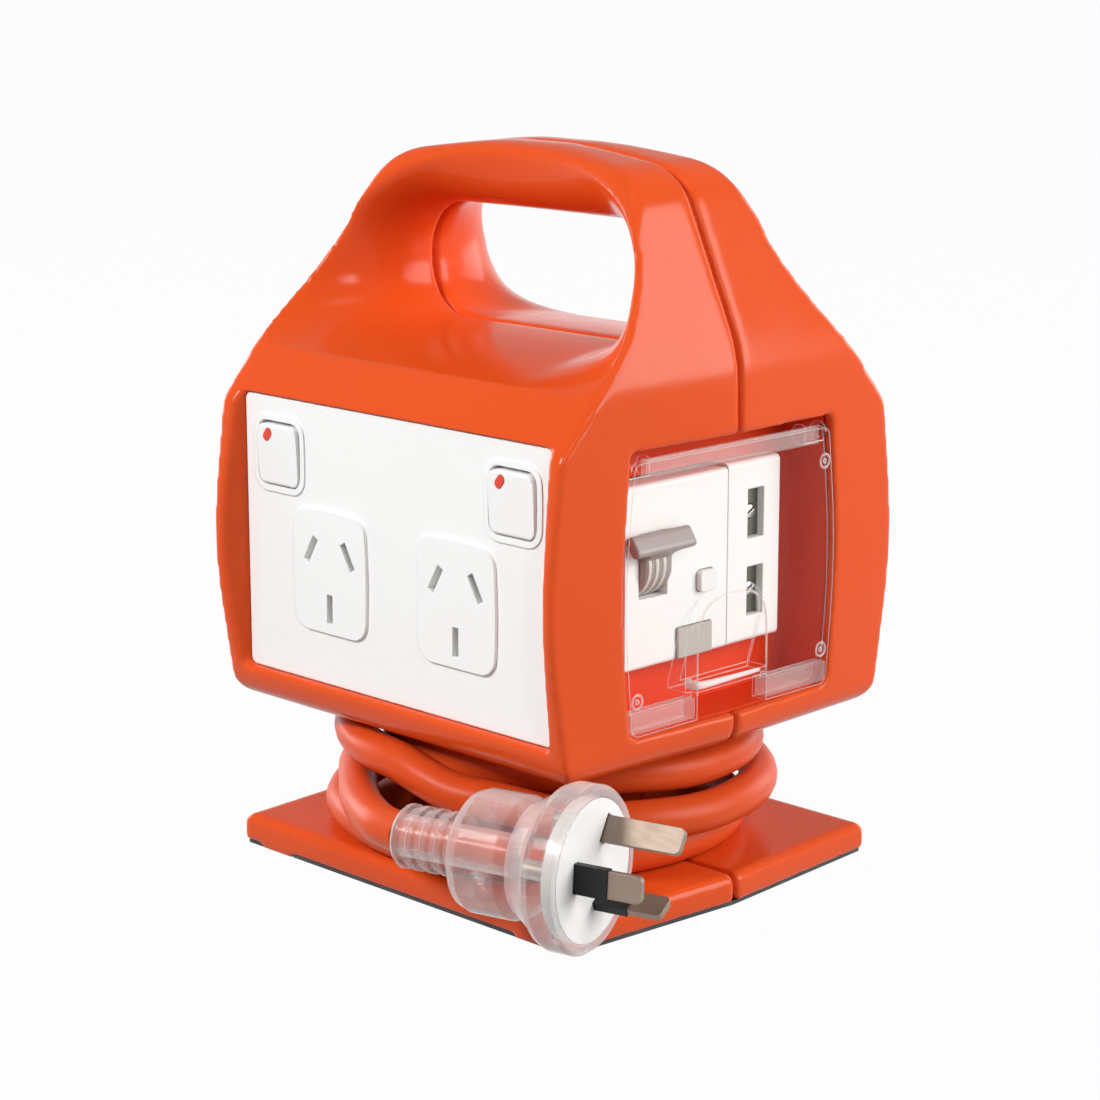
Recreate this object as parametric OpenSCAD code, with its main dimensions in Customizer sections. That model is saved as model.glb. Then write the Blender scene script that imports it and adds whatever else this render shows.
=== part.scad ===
// Portable power centre: a parted moulded housing with a carry handle, a switched double outlet on the
// front and on the rear, a breaker behind a clear side cover, and a plug lead wound round the neck.
// Millimetres, +Z up, outlets face -Y and +Y, breaker faces +X, origin under the middle of the base.

/* [Outlet plates] */
// Width of an outlet plate
plate_w = 109; // [104:0.5:120]
// Height of an outlet plate
plate_h = 70.4; // [68:0.2:80]
// Thickness of an outlet plate
plate_t = 3; // [2:0.1:3.5]
// Distance from the parting plane to a plate's outer face
plate_y = 54.5; // [53:0.1:55]
// Distance between the two outlets of a plate
outlet_pitch = 45.4; // [42:0.2:48]
// Height of the outlets above a plate's lower edge
outlet_z = 29.9; // [28:0.1:32]
// Width of a raised outlet face
outlet_face_w = 27.2; // [24:0.1:30]
// Height of a raised outlet face
outlet_face_h = 30.7; // [28:0.1:34]
// Distance from a plate's side edge to the middle of its rocker
rocker_inset = 12.8; // [12.4:0.1:14]
// Height of the rockers above a plate's lower edge
rocker_z = 56; // [54:0.1:57]
// Width of a rocker
rocker_w = 15.2; // [13:0.1:16]
// Height of a rocker
rocker_h = 15.4; // [13:0.1:16]
// Lean of a rocker at rest
rocker_tilt = 2.5; // [2:0.1:4]
// Width of a pin slot
slot_w = 7.2; // [6.8:0.1:7.6]
// Opening of a pin slot
slot_t = 2; // [1.8:0.1:2.4]
// Distance of the active and neutral pins from the outlet's middle
pin_circle = 7.92; // [7.5:0.01:8.5]
// Distance of the earth pin from the outlet's middle
earth_circle = 10.31; // [9.8:0.01:10.8]

/* [Housing] */
// Side wall beside a plate, at the parting plane
rim = 8.5; // [7:0.1:12]
// Rim beside the recess in front of a plate, at the belly
rim_edge = 2.3; // [2:0.1:4]
// Housing below a plate
sill_h = 9.1; // [8:0.1:14]
// Half depth of the body at its foot
foot_d = 55.7; // [55:0.1:58]
// Half depth of the body's belly, before rounding
belly_d = 62.4; // [61:0.1:66]
// Half depth of the body at the brow above a plate
brow_d = 57.6; // [57:0.1:59]
// Half depth of the body at the waist under the handle
waist_d = 37.2; // [34:0.1:40]
// Half depth of the handle's crest, before rounding
crest_d = 13.6; // [12:0.1:16]
// Draft of the body's sides
body_draft = 2.5; // [2:0.1:4]
// Wall thickness
wall = 3; // [2.4:0.1:3.6]
// Width of the groove along the parting plane
groove_w = 1.6; // [1:0.1:2]
// Depth of that groove
groove_d = 1.2; // [0.8:0.1:1.6]

/* [Handle] */
// Height of the grip hole's floor above the brow
floor_rise = 17.8; // [17:0.1:20]
// Height of the grip hole
grip_h = 29.3; // [28:0.1:34]
// Distance from the body's side to the grip hole
column_w = 20.3; // [19:0.1:25]
// Corner radius of the grip hole
grip_r = 13.5; // [10:0.1:13.8]
// Thickness of the handle
handle_t = 17.5; // [16:0.1:22]
// Distance from the body's side to the handle's shoulder, before rounding
shoulder_w = 19.4; // [17:0.1:23]
// Fall of the handle's top from its middle to its corners
crown = 4.1; // [3:0.1:5]
// Lean of the columns beside the grip hole
column_lean = 24.6; // [22:0.1:26]
// Flare radius of the grip hole at its sides
flare_side = 42.5; // [40:0.5:48]
// Flare radius of the grip hole under the handle's shoulders
flare_shoulder = 17; // [15:0.5:20]
// Flare radius of the grip hole under the handle's middle
flare_top = 11.5; // [10:0.1:13]
// Flare radius of the grip hole's floor
flare_floor = 206; // [180:1:240]

/* [Neck and base] */
// Gap between the base and the body, for the cord
neck_h = 32.6; // [32.4:0.1:36]
// Radius of the neck
neck_r = 32; // [28:0.5:32]
// Width of the base at the parting plane
base_w = 127; // [124:0.5:136]
// Depth of the base
base_d = 108.7; // [106:0.1:116]
// Thickness of the base
base_t = 7.1; // [6:0.1:8]
// Draft of the base's sides
base_draft = 4.4; // [3:0.1:5]
// Thickness of the pad under the base
pad_t = 0.9; // [0.8:0.1:2]

/* [Side window] */
// Half width of the window at its middle
window_w = 38.6; // [38:0.1:40]
// How far the window's sides draw in at its ends
window_bow = 3; // [2:0.1:4]
// Height of the window
window_h = 68.7; // [66:0.1:70]
// Height of the window's lower edge above the body's foot
window_z = 8.3; // [8:0.1:10]
// Depth of the pocket behind the window
pocket_d = 17; // [16:0.1:18]
// Thickness of the pocket's walls
pocket_wall = 2.2; // [1.8:0.1:2.4]
// Thickness of the clear cover
cover_t = 2; // [1.6:0.1:2.2]
// Height of the cover's hem
hem_h = 5.2; // [4:0.1:6]
// Half width of the cover's finger recess
recess_w = 12.5; // [10:0.1:14]

/* [Breaker] */
// Width of the breaker
breaker_w = 36; // [35:0.1:36.5]
// Height of the breaker's nose
nose_h = 45; // [44:0.1:46]
// Depth of the breaker from its nose to the rail
breaker_d = 55; // [50:0.5:58]
// How far the nose stands out of the pocket's floor
nose_rise = 5; // [4:0.1:6]
// Width of the terminal carrier
carrier_w = 19; // [17:0.1:19.4]
// Radius of the toggle's drum
drum_r = 8.2; // [7.8:0.1:8.6]
// Width of the toggle's drum
drum_w = 9.4; // [8:0.1:10]
// Width of the toggle's bar
bar_w = 20.5; // [16:0.1:21]
// Angle of the toggle at rest
toggle_angle = 33.5; // [30:0.5:35]

/* [Cord and plug] */
// Diameter of the cord
cord_d = 10; // [9:0.1:10]
// Step between the winding's levels
wind_step = 10.5; // [10.5:0.05:10.8]
// Diameter of the plug's flange
flange_d = 39.7; // [38:0.1:42]
// Diameter of the plug's grip
plug_grip_d = 29.5; // [27:0.1:31]
// Diameter of the plug's tail
plug_tail_d = 15.5; // [14.5:0.1:17]
// Length of the plug without its pins
plug_l = 51; // [48:0.5:56]
// Width of a plug pin
pin_w = 6.35; // [6.2:0.05:6.5]
// Thickness of a plug pin
pin_t = 1.63; // [1.5:0.01:1.7]
// Length of the active and neutral pins
pin_l = 17.1; // [16.5:0.1:17.5]
// Length of the earth pin
earth_l = 20; // [19:0.1:20.5]

/* [Hidden] */
$fn = 64;
eps = 0.01;
far = 200;
// Running clearance and seat clearance; the widest step of rounded corners and how far they may stand off
run_gap = 0.3;
seat_gap = 0.2;
arc_step = 10;
arc_sag = 0.04;

// How far behind the parting plane the drafted sides turn
draft_back = 1;

// Heights, from the floor up
base_z = pad_t + base_t;
body_z = base_z + neck_h;
plate_z = body_z + sill_h;
plate_top = plate_z + plate_h;
brow_z = plate_top - 1.8;
belly_z = (body_z + brow_z) / 2 + 2;
floor_z = brow_z + floor_rise;
waist_z = floor_z + 5.4;
grip_top = floor_z + grip_h;
top_z = grip_top + handle_t;
ceiling_z = floor_z - 3 * wall;

// Half widths and the depths of the outlet group
body_w = plate_w / 2 + rim;
grip_w = body_w - column_w;
top_w = body_w - shoulder_w;
switch_x = plate_w / 2 - rocker_inset;
ledge_t = 3;
plate_back = plate_y - plate_t;
cavity_y = plate_back - ledge_t;
block_d = 22;
block_back = plate_back - block_d;
block_w = switch_x + rocker_w / 2 + 2.5;
block_z = plate_z + 7.3;
pivot_y = plate_back - 2;
pivot_r = 1.2;
rocker_front = 5.9;
rocker_r = 2.6;
rocker_play = rocker_front * sin(rocker_tilt) + run_gap;
collar_w = 1.6;
collar_h = 0.35;
switch_z = plate_z + rocker_z;
tower_w = rocker_w + 5;
tower_top = switch_z + rocker_h / 2 + 3.2;
shelf_top = switch_z - rocker_h / 2 - 1;
shelf_back = pivot_y - 6.5;

// Front outline of the body, half side and crown: [x, z, radius]
corner_z = top_z - crown;
bend_z = corner_z - (body_w - top_w) / tan(column_lean);
crown_r = 170;
crown_rise = 1.7;
body_front = both_sides([[body_w, body_z, 5.5], [body_w, bend_z, 36], [top_w, corner_z, 16]],
    [[0, top_z + crown_rise, crown_r]]);
// Side outline of the body: [y, z, radius], its belly rounder the more it stands out
belly_r = 0.11 * pow(brow_z - body_z, 2) / (belly_d - (foot_d + brow_d) / 2);
body_side = both_sides([[foot_d, body_z, 7], [belly_d, belly_z, belly_r], [brow_d, brow_z, 9],
    [waist_d, waist_z, 30], [crest_d, top_z, 13]], []);
// Front and side outlines of the base
base_front = both_sides([[base_w / 2, pad_t, 0.8], [base_w / 2, base_z, 2.6]], []);
base_side = both_sides([[base_d / 2, pad_t, 0.8], [base_d / 2, base_z, 2.6]], []);
// Grip hole at the parting plane
grip_hole = both_sides([[grip_w, floor_z, grip_r], [grip_w, grip_top, grip_r]], []);

// Side window, cover and hinge
win_z = body_z + window_z;
win_top = win_z + window_h;
win_mid = (win_z + win_top) / 2;
win_end = window_w - window_bow;
window_outline = both_sides([[win_end, win_z, 3], [window_w, win_mid, 170], [win_end, win_top, 1.2]], []);
pocket_x = body_w - pocket_d;
core_w = pocket_x - pocket_wall - 1.2;
cover_x = body_w - 1.7;
cover_gap = 0.5;
hinge_room = 3;
cover_top = win_top - hinge_room;
hinge_z = win_top - 4.6;
hinge_x = cover_x - 3.7;
knuckle_r = 2.6;
stub_r = 1.4;
knuckle_l = 7;
stub_l = 2.7;
cover_end = win_end - cover_gap;
recess_d = 5.8;
recess_z = win_z + 9.2;
recess_top = win_z + 30.1;

// Breaker, carrier and rail
nose_x = pocket_x + nose_rise;
nose_z = win_z + 12.6;
breaker_y = -0.75 * breaker_w;
carrier_rise = 0.8;
carrier_y = breaker_y + breaker_w + 0.3;
rail_x = nose_x - breaker_d;
rail_h = 35;
rail_d = 7.5;
rail_z = nose_z + 5;
axle_x = nose_x - 6;
axle_z = nose_z + nose_h / 2 + 2.65;
drum_y = breaker_y + 9.7;
bar_in = 9.7;
bar_out = 12.5;
slot_h = 8;
bar_t = 5.5;
button_y = breaker_y + 28;
button_z = nose_z + 18.5;
button_w = 5.6;
button_h = 5;
button_outline = box_corners(button_y - button_w / 2, button_y + button_w / 2, button_z - button_h / 2,
    button_z + button_h / 2, 0.8);
clip_y = breaker_y + 18;
clip_w = 12;
clip_h = 7.4;
bay_w = 6;
bay_h = 12.5;
bay_d = 8;
bay_y = carrier_y + 7.2;
bay_z = [nose_z + 6.5, nose_z + 26];

// Housing screws: two behind the plates and two through the neck
screw_r = 1.9;
screw_head_r = 3.2;
screw_boss_r = 3.6;
upper_screw = [20, plate_top - 6.2];
lower_screw = [18, base_z + 16];
upper_seat = cavity_y - 12;
lower_seat = neck_r - 12;

// Cord route round the neck: [angle, radius, level], from the gland to the left front
wind_low = base_z + run_gap + cord_d / 2;
wind_route = [[184, 38, 2], [230, 38.8, 2], [260, 40.5, 2], [290, 42.8, 2], [330, 46.6, 1.93], [365, 48.1, 1.78],
    [405, 49.4, 1.7], [450, 50.6, 1.82], [495, 51.6, 2], [520, 53.6, 2], [550, 53, 2], [585, 51.2, 2], [625, 51.8, 1.99], [655, 53.6, 1.5], [690, 54, 0.98],
    [725, 53.5, 0.83], [765, 53, 0.74], [830, 54.5, 0.6], [900, 55.8, 0.1], [940, 54.2, 0], [970, 51.4, 0], [1035, 49, 0], [1080, 46.5, 0],
    [1125, 45.2, 0], [1200, 43.6, 0], [1260, 45, 0.4], [1290, 48, 0.8], [1305, 50, 0.97]];
loop_rings = 24;
wind_sides = 6;
tail_sides = 10;
wind_from = wind_route[0][0];
wind_to = wind_route[len(wind_route) - 1][0];
wind_rings = ceil((wind_to - wind_from) / 360 * loop_rings);
wind_start = wind_point(wind_from);
lead_in = [wind_start[0], cord_d + wind_start[1], wind_start[2]];
wind_path = concat([lead_in], [for (i = [0:wind_rings]) wind_point(wind_from + (wind_to - wind_from) * i / wind_rings)]);
wind_end = wind_path[len(wind_path) - 1];

// Plug: its face, its turn from +X and its roll, and the free end of the cord that reaches it
plug_face = [71, -58, 25];
plug_turn = 14.6;
plug_roll = 145;
tail_end = plug_face - plug_l * [cos(plug_turn), sin(plug_turn), 0];
tail_route = [[-30, -40.5, 23.6], [-22, -47.5, 23.8], [-13.5, -54.6, 24], [-5, -60.8, 24.2], [4, -66, 24.6],
    [12, -69.5, 24.9]];
tail_path = concat([wind_end], tail_route, [tail_end]);
insert_r = flange_d / 2 - 3;
insert_t = 4;
sheath_l = plug_l - 20;
terminal_r = 2.2;
terminal_l = 9;
sleeve_l = 8.6;
sleeve_t = 0.3;
pin_angles = [plug_roll + 30, plug_roll + 150, plug_roll - 90];

// Gland at the neck and the lead inside
gland_l = 6;
gland_r = cord_d / 2 + 0.9;
gland_root = 4;
gland_block = 8;
lead_y = lead_in[1] + gland_l + gland_block / 2;
lead_route = [[-24, lead_y, lead_in[2]], [-12, 19, 35], [-2, 19.5, 39], [4, 19, 47], [6, 19, nose_z - seat_gap]];

// Outlines

function unit(v) = v / norm(v);
function flat(p) = [p[0], p[1]];
function both_sides(half, middle) = concat(half, middle,
    [for (i = [len(half) - 1:-1:0]) [-half[i][0], half[i][1], half[i][2]]]);
function before(list, i) = list[(i + len(list) - 1) % len(list)];
function after(list, i) = list[(i + 1) % len(list)];

// One corner of an outline as the points of its arc
function corner_arc(a, p, b) =
    p[2] <= 0 ? [flat(p)] :
    let (
        u = unit(flat(a) - flat(p)),
        v = unit(flat(b) - flat(p)),
        half = acos(u * v) / 2,
        sweep = 180 - 2 * half,
        centre = flat(p) + unit(u + v) * p[2] / sin(half),
        from = flat(p) + u * p[2] / tan(half) - centre,
        to = flat(p) + v * p[2] / tan(half) - centre,
        step = min(arc_step, 2 * acos(1 - arc_sag / max(p[2], 1))),
        steps = max(2, ceil(sweep / step))
    )
    [for (k = [0:steps]) centre + (from * sin(sweep * (1 - k / steps)) + to * sin(sweep * k / steps)) / sin(sweep)];

function rounded(corners) =
    [for (i = [0:len(corners) - 1]) each corner_arc(before(corners, i), corners[i], after(corners, i))];

// An outline moved inwards by d, its corners with it
function inset(corners, d) = [for (i = [0:len(corners) - 1])
    let (
        p = corners[i],
        e = unit(flat(p) - flat(before(corners, i))),
        f = unit(flat(after(corners, i)) - flat(p)),
        m = [-e[1], e[0]],
        n = [-f[1], f[0]],
        q = flat(p) + d * (m + n) / (1 + m * n),
        r = cross(e, f) > 0 ? max(p[2] - d, 0.4) : p[2] + d
    )
    [q[0], q[1], r]];

function box_corners(x0, x1, z0, z1, r) = [[x1, z0, r], [x1, z1, r], [x0, z1, r], [x0, z0, r]];

// Solids from outlines

// An outline in X and Z, drawn from y0 to y1
module front_slab(outline, y0, y1) {
  translate([0, y1, 0])
    rotate([90, 0, 0])
      linear_extrude(y1 - y0)
        polygon(rounded(outline));
}

// An outline in Y and Z, drawn from x0 to x1
module side_slab(outline, x0, x1) {
  translate([x0, 0, 0])
    rotate([90, 0, 90])
      linear_extrude(x1 - x0)
        polygon(rounded(outline));
}

// A box given by its lowest and highest corners
module box(low, high) {
  translate(low)
    cube(high - low);
}

// A round rod between two points
module rod(p, q, r) {
  d = q - p;
  translate(p)
    rotate([0, acos(d[2] / norm(d)), atan2(d[1], d[0])])
      cylinder(h = norm(d), r = r);
}

// Front half of a block with a front outline, a side outline and sides that draw in towards its face
module drafted_half(front, side, draft) {
  intersection() {
    translate([0, draft_back, 0])
      rotate(-draft)
        front_slab(front, -far, far);
    translate([0, draft_back, 0])
      rotate(draft)
        front_slab(front, -far, far);
    side_slab(side, -far, far);
    box([-far, -far, 0], [far, 0, 2 * far]);
  }
}

// The same half with the groove that runs along the parting plane
module grooved_half(front, side, draft) {
  difference() {
    drafted_half(front, side, draft);
    difference() {
      box([-far, -groove_w / 2, 0], [far, 1, 2 * far]);
      drafted_half(inset(front, groove_d), inset(side, groove_d), draft);
    }
  }
}

// Flared grip hole

flare_rings = 9;
flare_lift = 9;
edge_step = 6;
top_half = grip_w - grip_r;
shoulder_lean = (flare_side - flare_shoulder) / 90;
hole_edge = fine(rounded(grip_hole), edge_step);

// A closed outline with its long edges divided
function fine(points, step) = [for (i = [0:len(points) - 1])
    let (
        p = points[i],
        q = after(points, i),
        n = ceil(norm(q - p) / step)
    )
    for (k = [0:n - 1]) p + (q - p) * k / n];

// Flare radius at height angle a of the edge's outward direction and at distance x from the middle
function flare_r(a, x) = flare_side - shoulder_lean * a
    + (a < 0 ? (flare_floor - flare_side - 90 * shoulder_lean) * pow(sin(-a), 4) : 0)
    - (a > 80 ? (flare_shoulder - flare_top) * max(0, 1 - pow(x / top_half, 2)) : 0);
// How far towards the face the flare reaches there
function flare_reach(a, r) = min(0.99 * r, a < 0 ? 40 + 12 * sin(-a) : 40);

// Outward direction of the hole's edge at point i
function edge_out(i) =
    let (t = unit(after(hole_edge, i) - before(hole_edge, i)))
    [t[1], -t[0]];

// Point i of the flare at part t of its turn, raised outwards by lift under the handle
function flare_point(i, t, lift = 0) =
    let (
        n = edge_out(i),
        a = asin(n[1]),
        r = flare_r(a, hole_edge[i][0]),
        turn = asin(flare_reach(a, r) / r) * t,
        rise = a > 0 ? lift * pow(sin(a), 2) : 0,
        p = hole_edge[i] + n * (r * (1 - cos(turn)) + rise)
    )
    [p[0], -r * sin(turn) - (lift > 0 ? 0.5 + rise / 9 : 0), p[1]];

module grip_flare() {
  last = [for (i = [0:len(hole_edge) - 1]) i];
  rings = [for (k = [0:flare_rings]) [for (i = last) flare_point(i, k / flare_rings)]];
  lip = [for (i = last) flare_point(i, 1, flare_lift)];
  mouth = [for (p = lip) [p[0], -far, p[2]]];
  inner = [for (p = hole_edge) [p[0], 1, p[1]]];
  loft(concat([mouth, lip], [for (k = [flare_rings:-1:0]) rings[k]], [inner]));
}

// A closed solid through rings of equal count, with a fan of triangles at each end
module loft(rings) {
  n = len(rings[0]);
  m = len(rings);
  first = m * n;
  polyhedron(
    points = concat([for (ring = rings) each ring], [mean(rings[0]), mean(rings[m - 1])]),
    faces = concat(
      [for (i = [0:n - 1]) [first, (i + 1) % n, i]],
      [for (i = [0:n - 1]) [first + 1, (m - 1) * n + i, (m - 1) * n + (i + 1) % n]],
      [for (k = [0:m - 2]) for (i = [0:n - 1]) each [
          [k * n + i, k * n + (i + 1) % n, (k + 1) * n + i],
          [k * n + (i + 1) % n, (k + 1) * n + (i + 1) % n, (k + 1) * n + i]]]
    ));
}

function mean(points) = [for (p = points) 1] * points / len(points);

// Cords

// Smooth value between the rows of a table keyed by its first column
function ease(t) = t * t * (3 - 2 * t);
function row_at(table, key, i = 0) = i >= len(table) - 2 || key <= table[i + 1][0] ? i : row_at(table, key, i + 1);
function slope(table, i, c) = i <= 0 || i >= len(table) - 1
    ? 0
    : (table[i + 1][c] - table[i - 1][c]) / (table[i + 1][0] - table[i - 1][0]);
function curve_at(table, key, c) =
    let (
        i = row_at(table, key),
        span = table[i + 1][0] - table[i][0],
        t = (key - table[i][0]) / span,
        a = table[i][c],
        b = table[i + 1][c]
    )
    a + (b - a) * ease(t) + span * (slope(table, i, c) * t * (1 - t) * (1 - t) - slope(table, i + 1, c) * t * t * (1 - t));
function level_at(table, key) =
    let (
        i = row_at(table, key),
        t = (key - table[i][0]) / (table[i + 1][0] - table[i][0])
    )
    table[i][2] + (table[i + 1][2] - table[i][2]) * ease(t);
function wind_point(angle) =
    let (r = curve_at(wind_route, angle, 1))
    [r * cos(angle), r * sin(angle), wind_low + wind_step * level_at(wind_route, angle)];

function path_dir(path, i) = unit(path[min(i + 1, len(path) - 1)] - path[max(i - 1, 0)]);
function ring_at(path, i, r, sides, dir) =
    let (
        side = unit(cross(dir, [0, 0, 1])),
        up = cross(side, dir)
    )
    [for (k = [0:sides - 1]) path[i] + r * (cos(360 * k / sides) * side + sin(360 * k / sides) * up)];

// A tube along a path, with the directions of its two ends
module tube(path, r, sides, from, to) {
  last = len(path) - 1;
  loft([for (i = [0:last])
      ring_at(path, i, r, sides, i == 0 ? from : i == last ? to : path_dir(path, i))]);
}

function path_length(path, i = 0) = i >= len(path) - 1 ? 0 : norm(path[i + 1] - path[i]) + path_length(path, i + 1);

plug_dir = [cos(plug_turn), sin(plug_turn), 0];
wind_leave = unit(wind_point(wind_to) - wind_point(wind_to - 2));
self_gap = min([for (i = [0:len(wind_path) - 1]) for (j = [i + loop_rings / 2:1:len(wind_path) - 1])
    norm(wind_path[i] - wind_path[j])]) - cord_d;
echo(winding_least_gap = self_gap, cord_length = path_length(wind_path) + path_length(tail_path));

// Housing

module neck_half() {
  intersection() {
    box([-far, -far, 0], [far, 0, far]);
    difference() {
      translate([0, 0, base_z - 1])
        cylinder(h = neck_h + 2, r = neck_r);
      translate([0, 0, base_z])
        cylinder(h = neck_h + 4, r = neck_r - wall);
    }
  }
}

// Recess in front of a plate, with side walls that open towards the face
module plate_mouth() {
  half = plate_w / 2 + seat_gap;
  open = body_w - tan(body_draft) * belly_d - rim_edge;
  translate([0, 0, plate_z - seat_gap])
    linear_extrude(plate_h + 2 * seat_gap)
      polygon([[half, -plate_y], [-half, -plate_y], [-open, -belly_d], [-open, -far], [open, -far], [open, -belly_d]]);
}

// Body half with its cavity, plate seat, grip hole and side window
module body_half() {
  difference() {
    grooved_half(body_front, body_side, body_draft);
    intersection() {
      drafted_half(inset(body_front, wall), inset(body_side, wall), body_draft);
      box([-far, -cavity_y, body_z + wall], [far, 1, ceiling_z]);
    }
    translate([0, 0, body_z - 1])
      cylinder(h = wall + 2, r = neck_r - wall);
    grip_flare();
    front_slab(inset(grip_hole, -groove_d), -groove_w / 2, 1);
    front_slab(box_corners(-plate_w / 2 - seat_gap, plate_w / 2 + seat_gap, plate_z - seat_gap,
        plate_top + seat_gap, 2), -plate_y - eps, -plate_back);
    plate_mouth();
    box([-block_w - seat_gap, -far, block_z - seat_gap], [block_w + seat_gap, -cavity_y + 1, tower_top + seat_gap]);
    side_slab(window_outline, pocket_x, far);
  }
}

// Room for the cover's stubs in the pocket's walls
module hinge_bores() {
  translate([hinge_x, 0, hinge_z])
    rotate([90, 0, 0])
      cylinder(h = 2 * (cover_end + stub_l + run_gap), r = stub_r + run_gap, center = true);
}

// Bosses that the housing screws run through, hung from the cavity's ceiling and inside the neck
module screw_bosses() {
  for (s = [-1, 1]) {
    translate([s * upper_screw[0], 0, upper_screw[1]])
      rotate([90, 0, 0])
        cylinder(h = upper_seat, r = screw_boss_r);
    box([s * upper_screw[0] - 1.5, -upper_seat, upper_screw[1]], [s * upper_screw[0] + 1.5, 0, ceiling_z + 1]);
    translate([s * lower_screw[0], 0, lower_screw[1]])
      rotate([90, 0, 0])
        cylinder(h = lower_seat, r = screw_boss_r);
  }
}

// Bores of radius r through the bosses
module screw_bores(r) {
  for (s = [-1, 1]) {
    translate([s * upper_screw[0], 1, upper_screw[1]])
      rotate([90, 0, 0])
        cylinder(h = upper_seat + 2, r = r);
    translate([s * lower_screw[0], 1, lower_screw[1]])
      rotate([90, 0, 0])
        cylinder(h = lower_seat + 2, r = r);
  }
}

module housing_half() {
  grooved_half(base_front, base_side, base_draft);
  base_tabs();
  neck_half();
  body_half();
  screw_bosses();
}

module front_housing() {
  color("orangered")
    difference() {
      housing_half();
      screw_bores(screw_r + 0.05);
      hinge_bores();
    }
}

module rear_housing() {
  color("orangered")
    difference() {
      mirror([0, 1, 0])
        housing_half();
      mirror([0, 1, 0]) {
        screw_bores(screw_r + seat_gap);
        for (s = [-1, 1]) {
          translate([s * upper_screw[0], -upper_seat, upper_screw[1]])
            rotate([90, 0, 0])
              cylinder(h = far, r = screw_head_r + seat_gap);
          translate([s * lower_screw[0], -lower_seat, lower_screw[1]])
            rotate([90, 0, 0])
              cylinder(h = far, r = screw_head_r + seat_gap);
        }
      }
      hinge_bores();
      box([lead_in[0], lead_in[1] + gland_l - seat_gap, lead_in[2] - gland_r - seat_gap],
        [-neck_r / 2, lead_in[1] + gland_l + gland_block + seat_gap, lead_in[2] + gland_r + seat_gap]);
    }
}

// Walls of the pocket that the breaker looks out of, seated behind the window
module breaker_pocket() {
  color("orangered")
    difference() {
      intersection() {
        side_slab(inset(window_outline, -pocket_wall), pocket_x - pocket_wall, body_w);
        for (s = [0, 1])
          mirror([0, s, 0])
            drafted_half(inset(body_front, wall + seat_gap), inset(body_side, wall), body_draft);
      }
      side_slab(window_outline, pocket_x, far);
      box([0, breaker_y - seat_gap, nose_z - seat_gap],
        [far, carrier_y + carrier_w + seat_gap, nose_z + nose_h + carrier_rise + seat_gap]);
      hinge_bores();
    }
}

// Tabs of the base that stand in the pad's notches
notch_x = [41, 53];
notch_d = 3;

module base_tabs() {
  for (s = [-1, 1])
    mirror([s < 0 ? 1 : 0, 0, 0])
      box([notch_x[0] + seat_gap, -base_d / 2 + 0.3, 0], [notch_x[1] - seat_gap, -base_d / 2 + notch_d - seat_gap, pad_t + 2]);
}

module base_pad() {
  margin = 0.8;
  side = base_w / 2 - margin;
  depth = base_d / 2 - margin;
  end = side - tan(base_draft) * depth;
  color("dimgray")
    linear_extrude(pad_t)
      difference() {
        polygon([[side, 0], [end, depth], [-end, depth], [-side, 0], [-end, -depth], [end, -depth]]);
        for (s = [-1, 1])
          for (f = [-1, 1])
            translate([s * (notch_x[0] + notch_x[1]) / 2, f * base_d / 2])
              square([notch_x[1] - notch_x[0], 2 * notch_d], center = true);
      }
}

module housing_screws() {
  color("silver")
    for (s = [-1, 1]) {
      housing_screw([s * upper_screw[0], upper_seat, upper_screw[1]], 2 * upper_seat - 8);
      housing_screw([s * lower_screw[0], lower_seat, lower_screw[1]], 2 * lower_seat - 4);
    }
}

// One screw, its head's seat at a point and its shank along -Y
module housing_screw(seat, length) {
  translate(seat)
    rotate([90, 0, 0])
      difference() {
        union() {
          cylinder(h = length, r = screw_r);
          translate([0, 0, -2.4])
            cylinder(h = 2.4, r = screw_head_r);
        }
        translate([-4, -0.5, -3])
          cube([8, 1, 1.6]);
      }
}

// Outlets

outlet_x = outlet_pitch / 2;

// Places something at each pin of an outlet, its width along local X and its depth along Y
module at_pins(x) {
  for (pin = [[30, pin_circle, 120], [150, pin_circle, 60], [-90, earth_circle, 90]])
    translate([x + pin[1] * cos(pin[0]), 0, plate_z + outlet_z + pin[1] * sin(pin[0])])
      rotate([0, -pin[2], 0])
        children();
}

// Outline of a raised outlet face about the pins' middle, and of a rocker about its pivot
face_low = -outlet_face_h / 2 - 1.35;
outlet_face = both_sides([[outlet_face_w / 2 - 0.5, face_low, 5], [outlet_face_w / 2 + 0.2, face_low + outlet_face_h / 2, 120],
    [outlet_face_w / 2 - 0.6, face_low + outlet_face_h, 4.5]], [[0, face_low + outlet_face_h + 0.5, 120]]);
rocker_outline = both_sides([[rocker_w / 2 - 0.3, -rocker_h / 2, rocker_r], [rocker_w / 2, 0, 90],
    [rocker_w / 2 - 0.3, rocker_h / 2, rocker_r]], []);

module faceplate() {
  difference() {
    union() {
      front_slab(box_corners(-plate_w / 2, plate_w / 2, plate_z, plate_top, 2), -plate_y, -plate_back);
      for (s = [-1, 1])
        translate([s * outlet_x, 0, plate_z + outlet_z])
          front_slab(outlet_face, -plate_y - 0.8, -plate_back);
      for (s = [-1, 1])
        translate([s * switch_x, 0, switch_z])
          front_slab(inset(rocker_outline, -rocker_play - collar_w), -plate_y - collar_h, -plate_back);
    }
    for (s = [-1, 1]) {
      at_pins(s * outlet_x)
        cube([slot_w, far, slot_t], center = true);
      translate([s * switch_x, 0, switch_z])
        front_slab(inset(rocker_outline, -rocker_play), -far, 0);
    }
  }
}

contact_w = slot_w + 0.2;
contact_t = slot_t + 1.4;
contact_l = 13;

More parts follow.
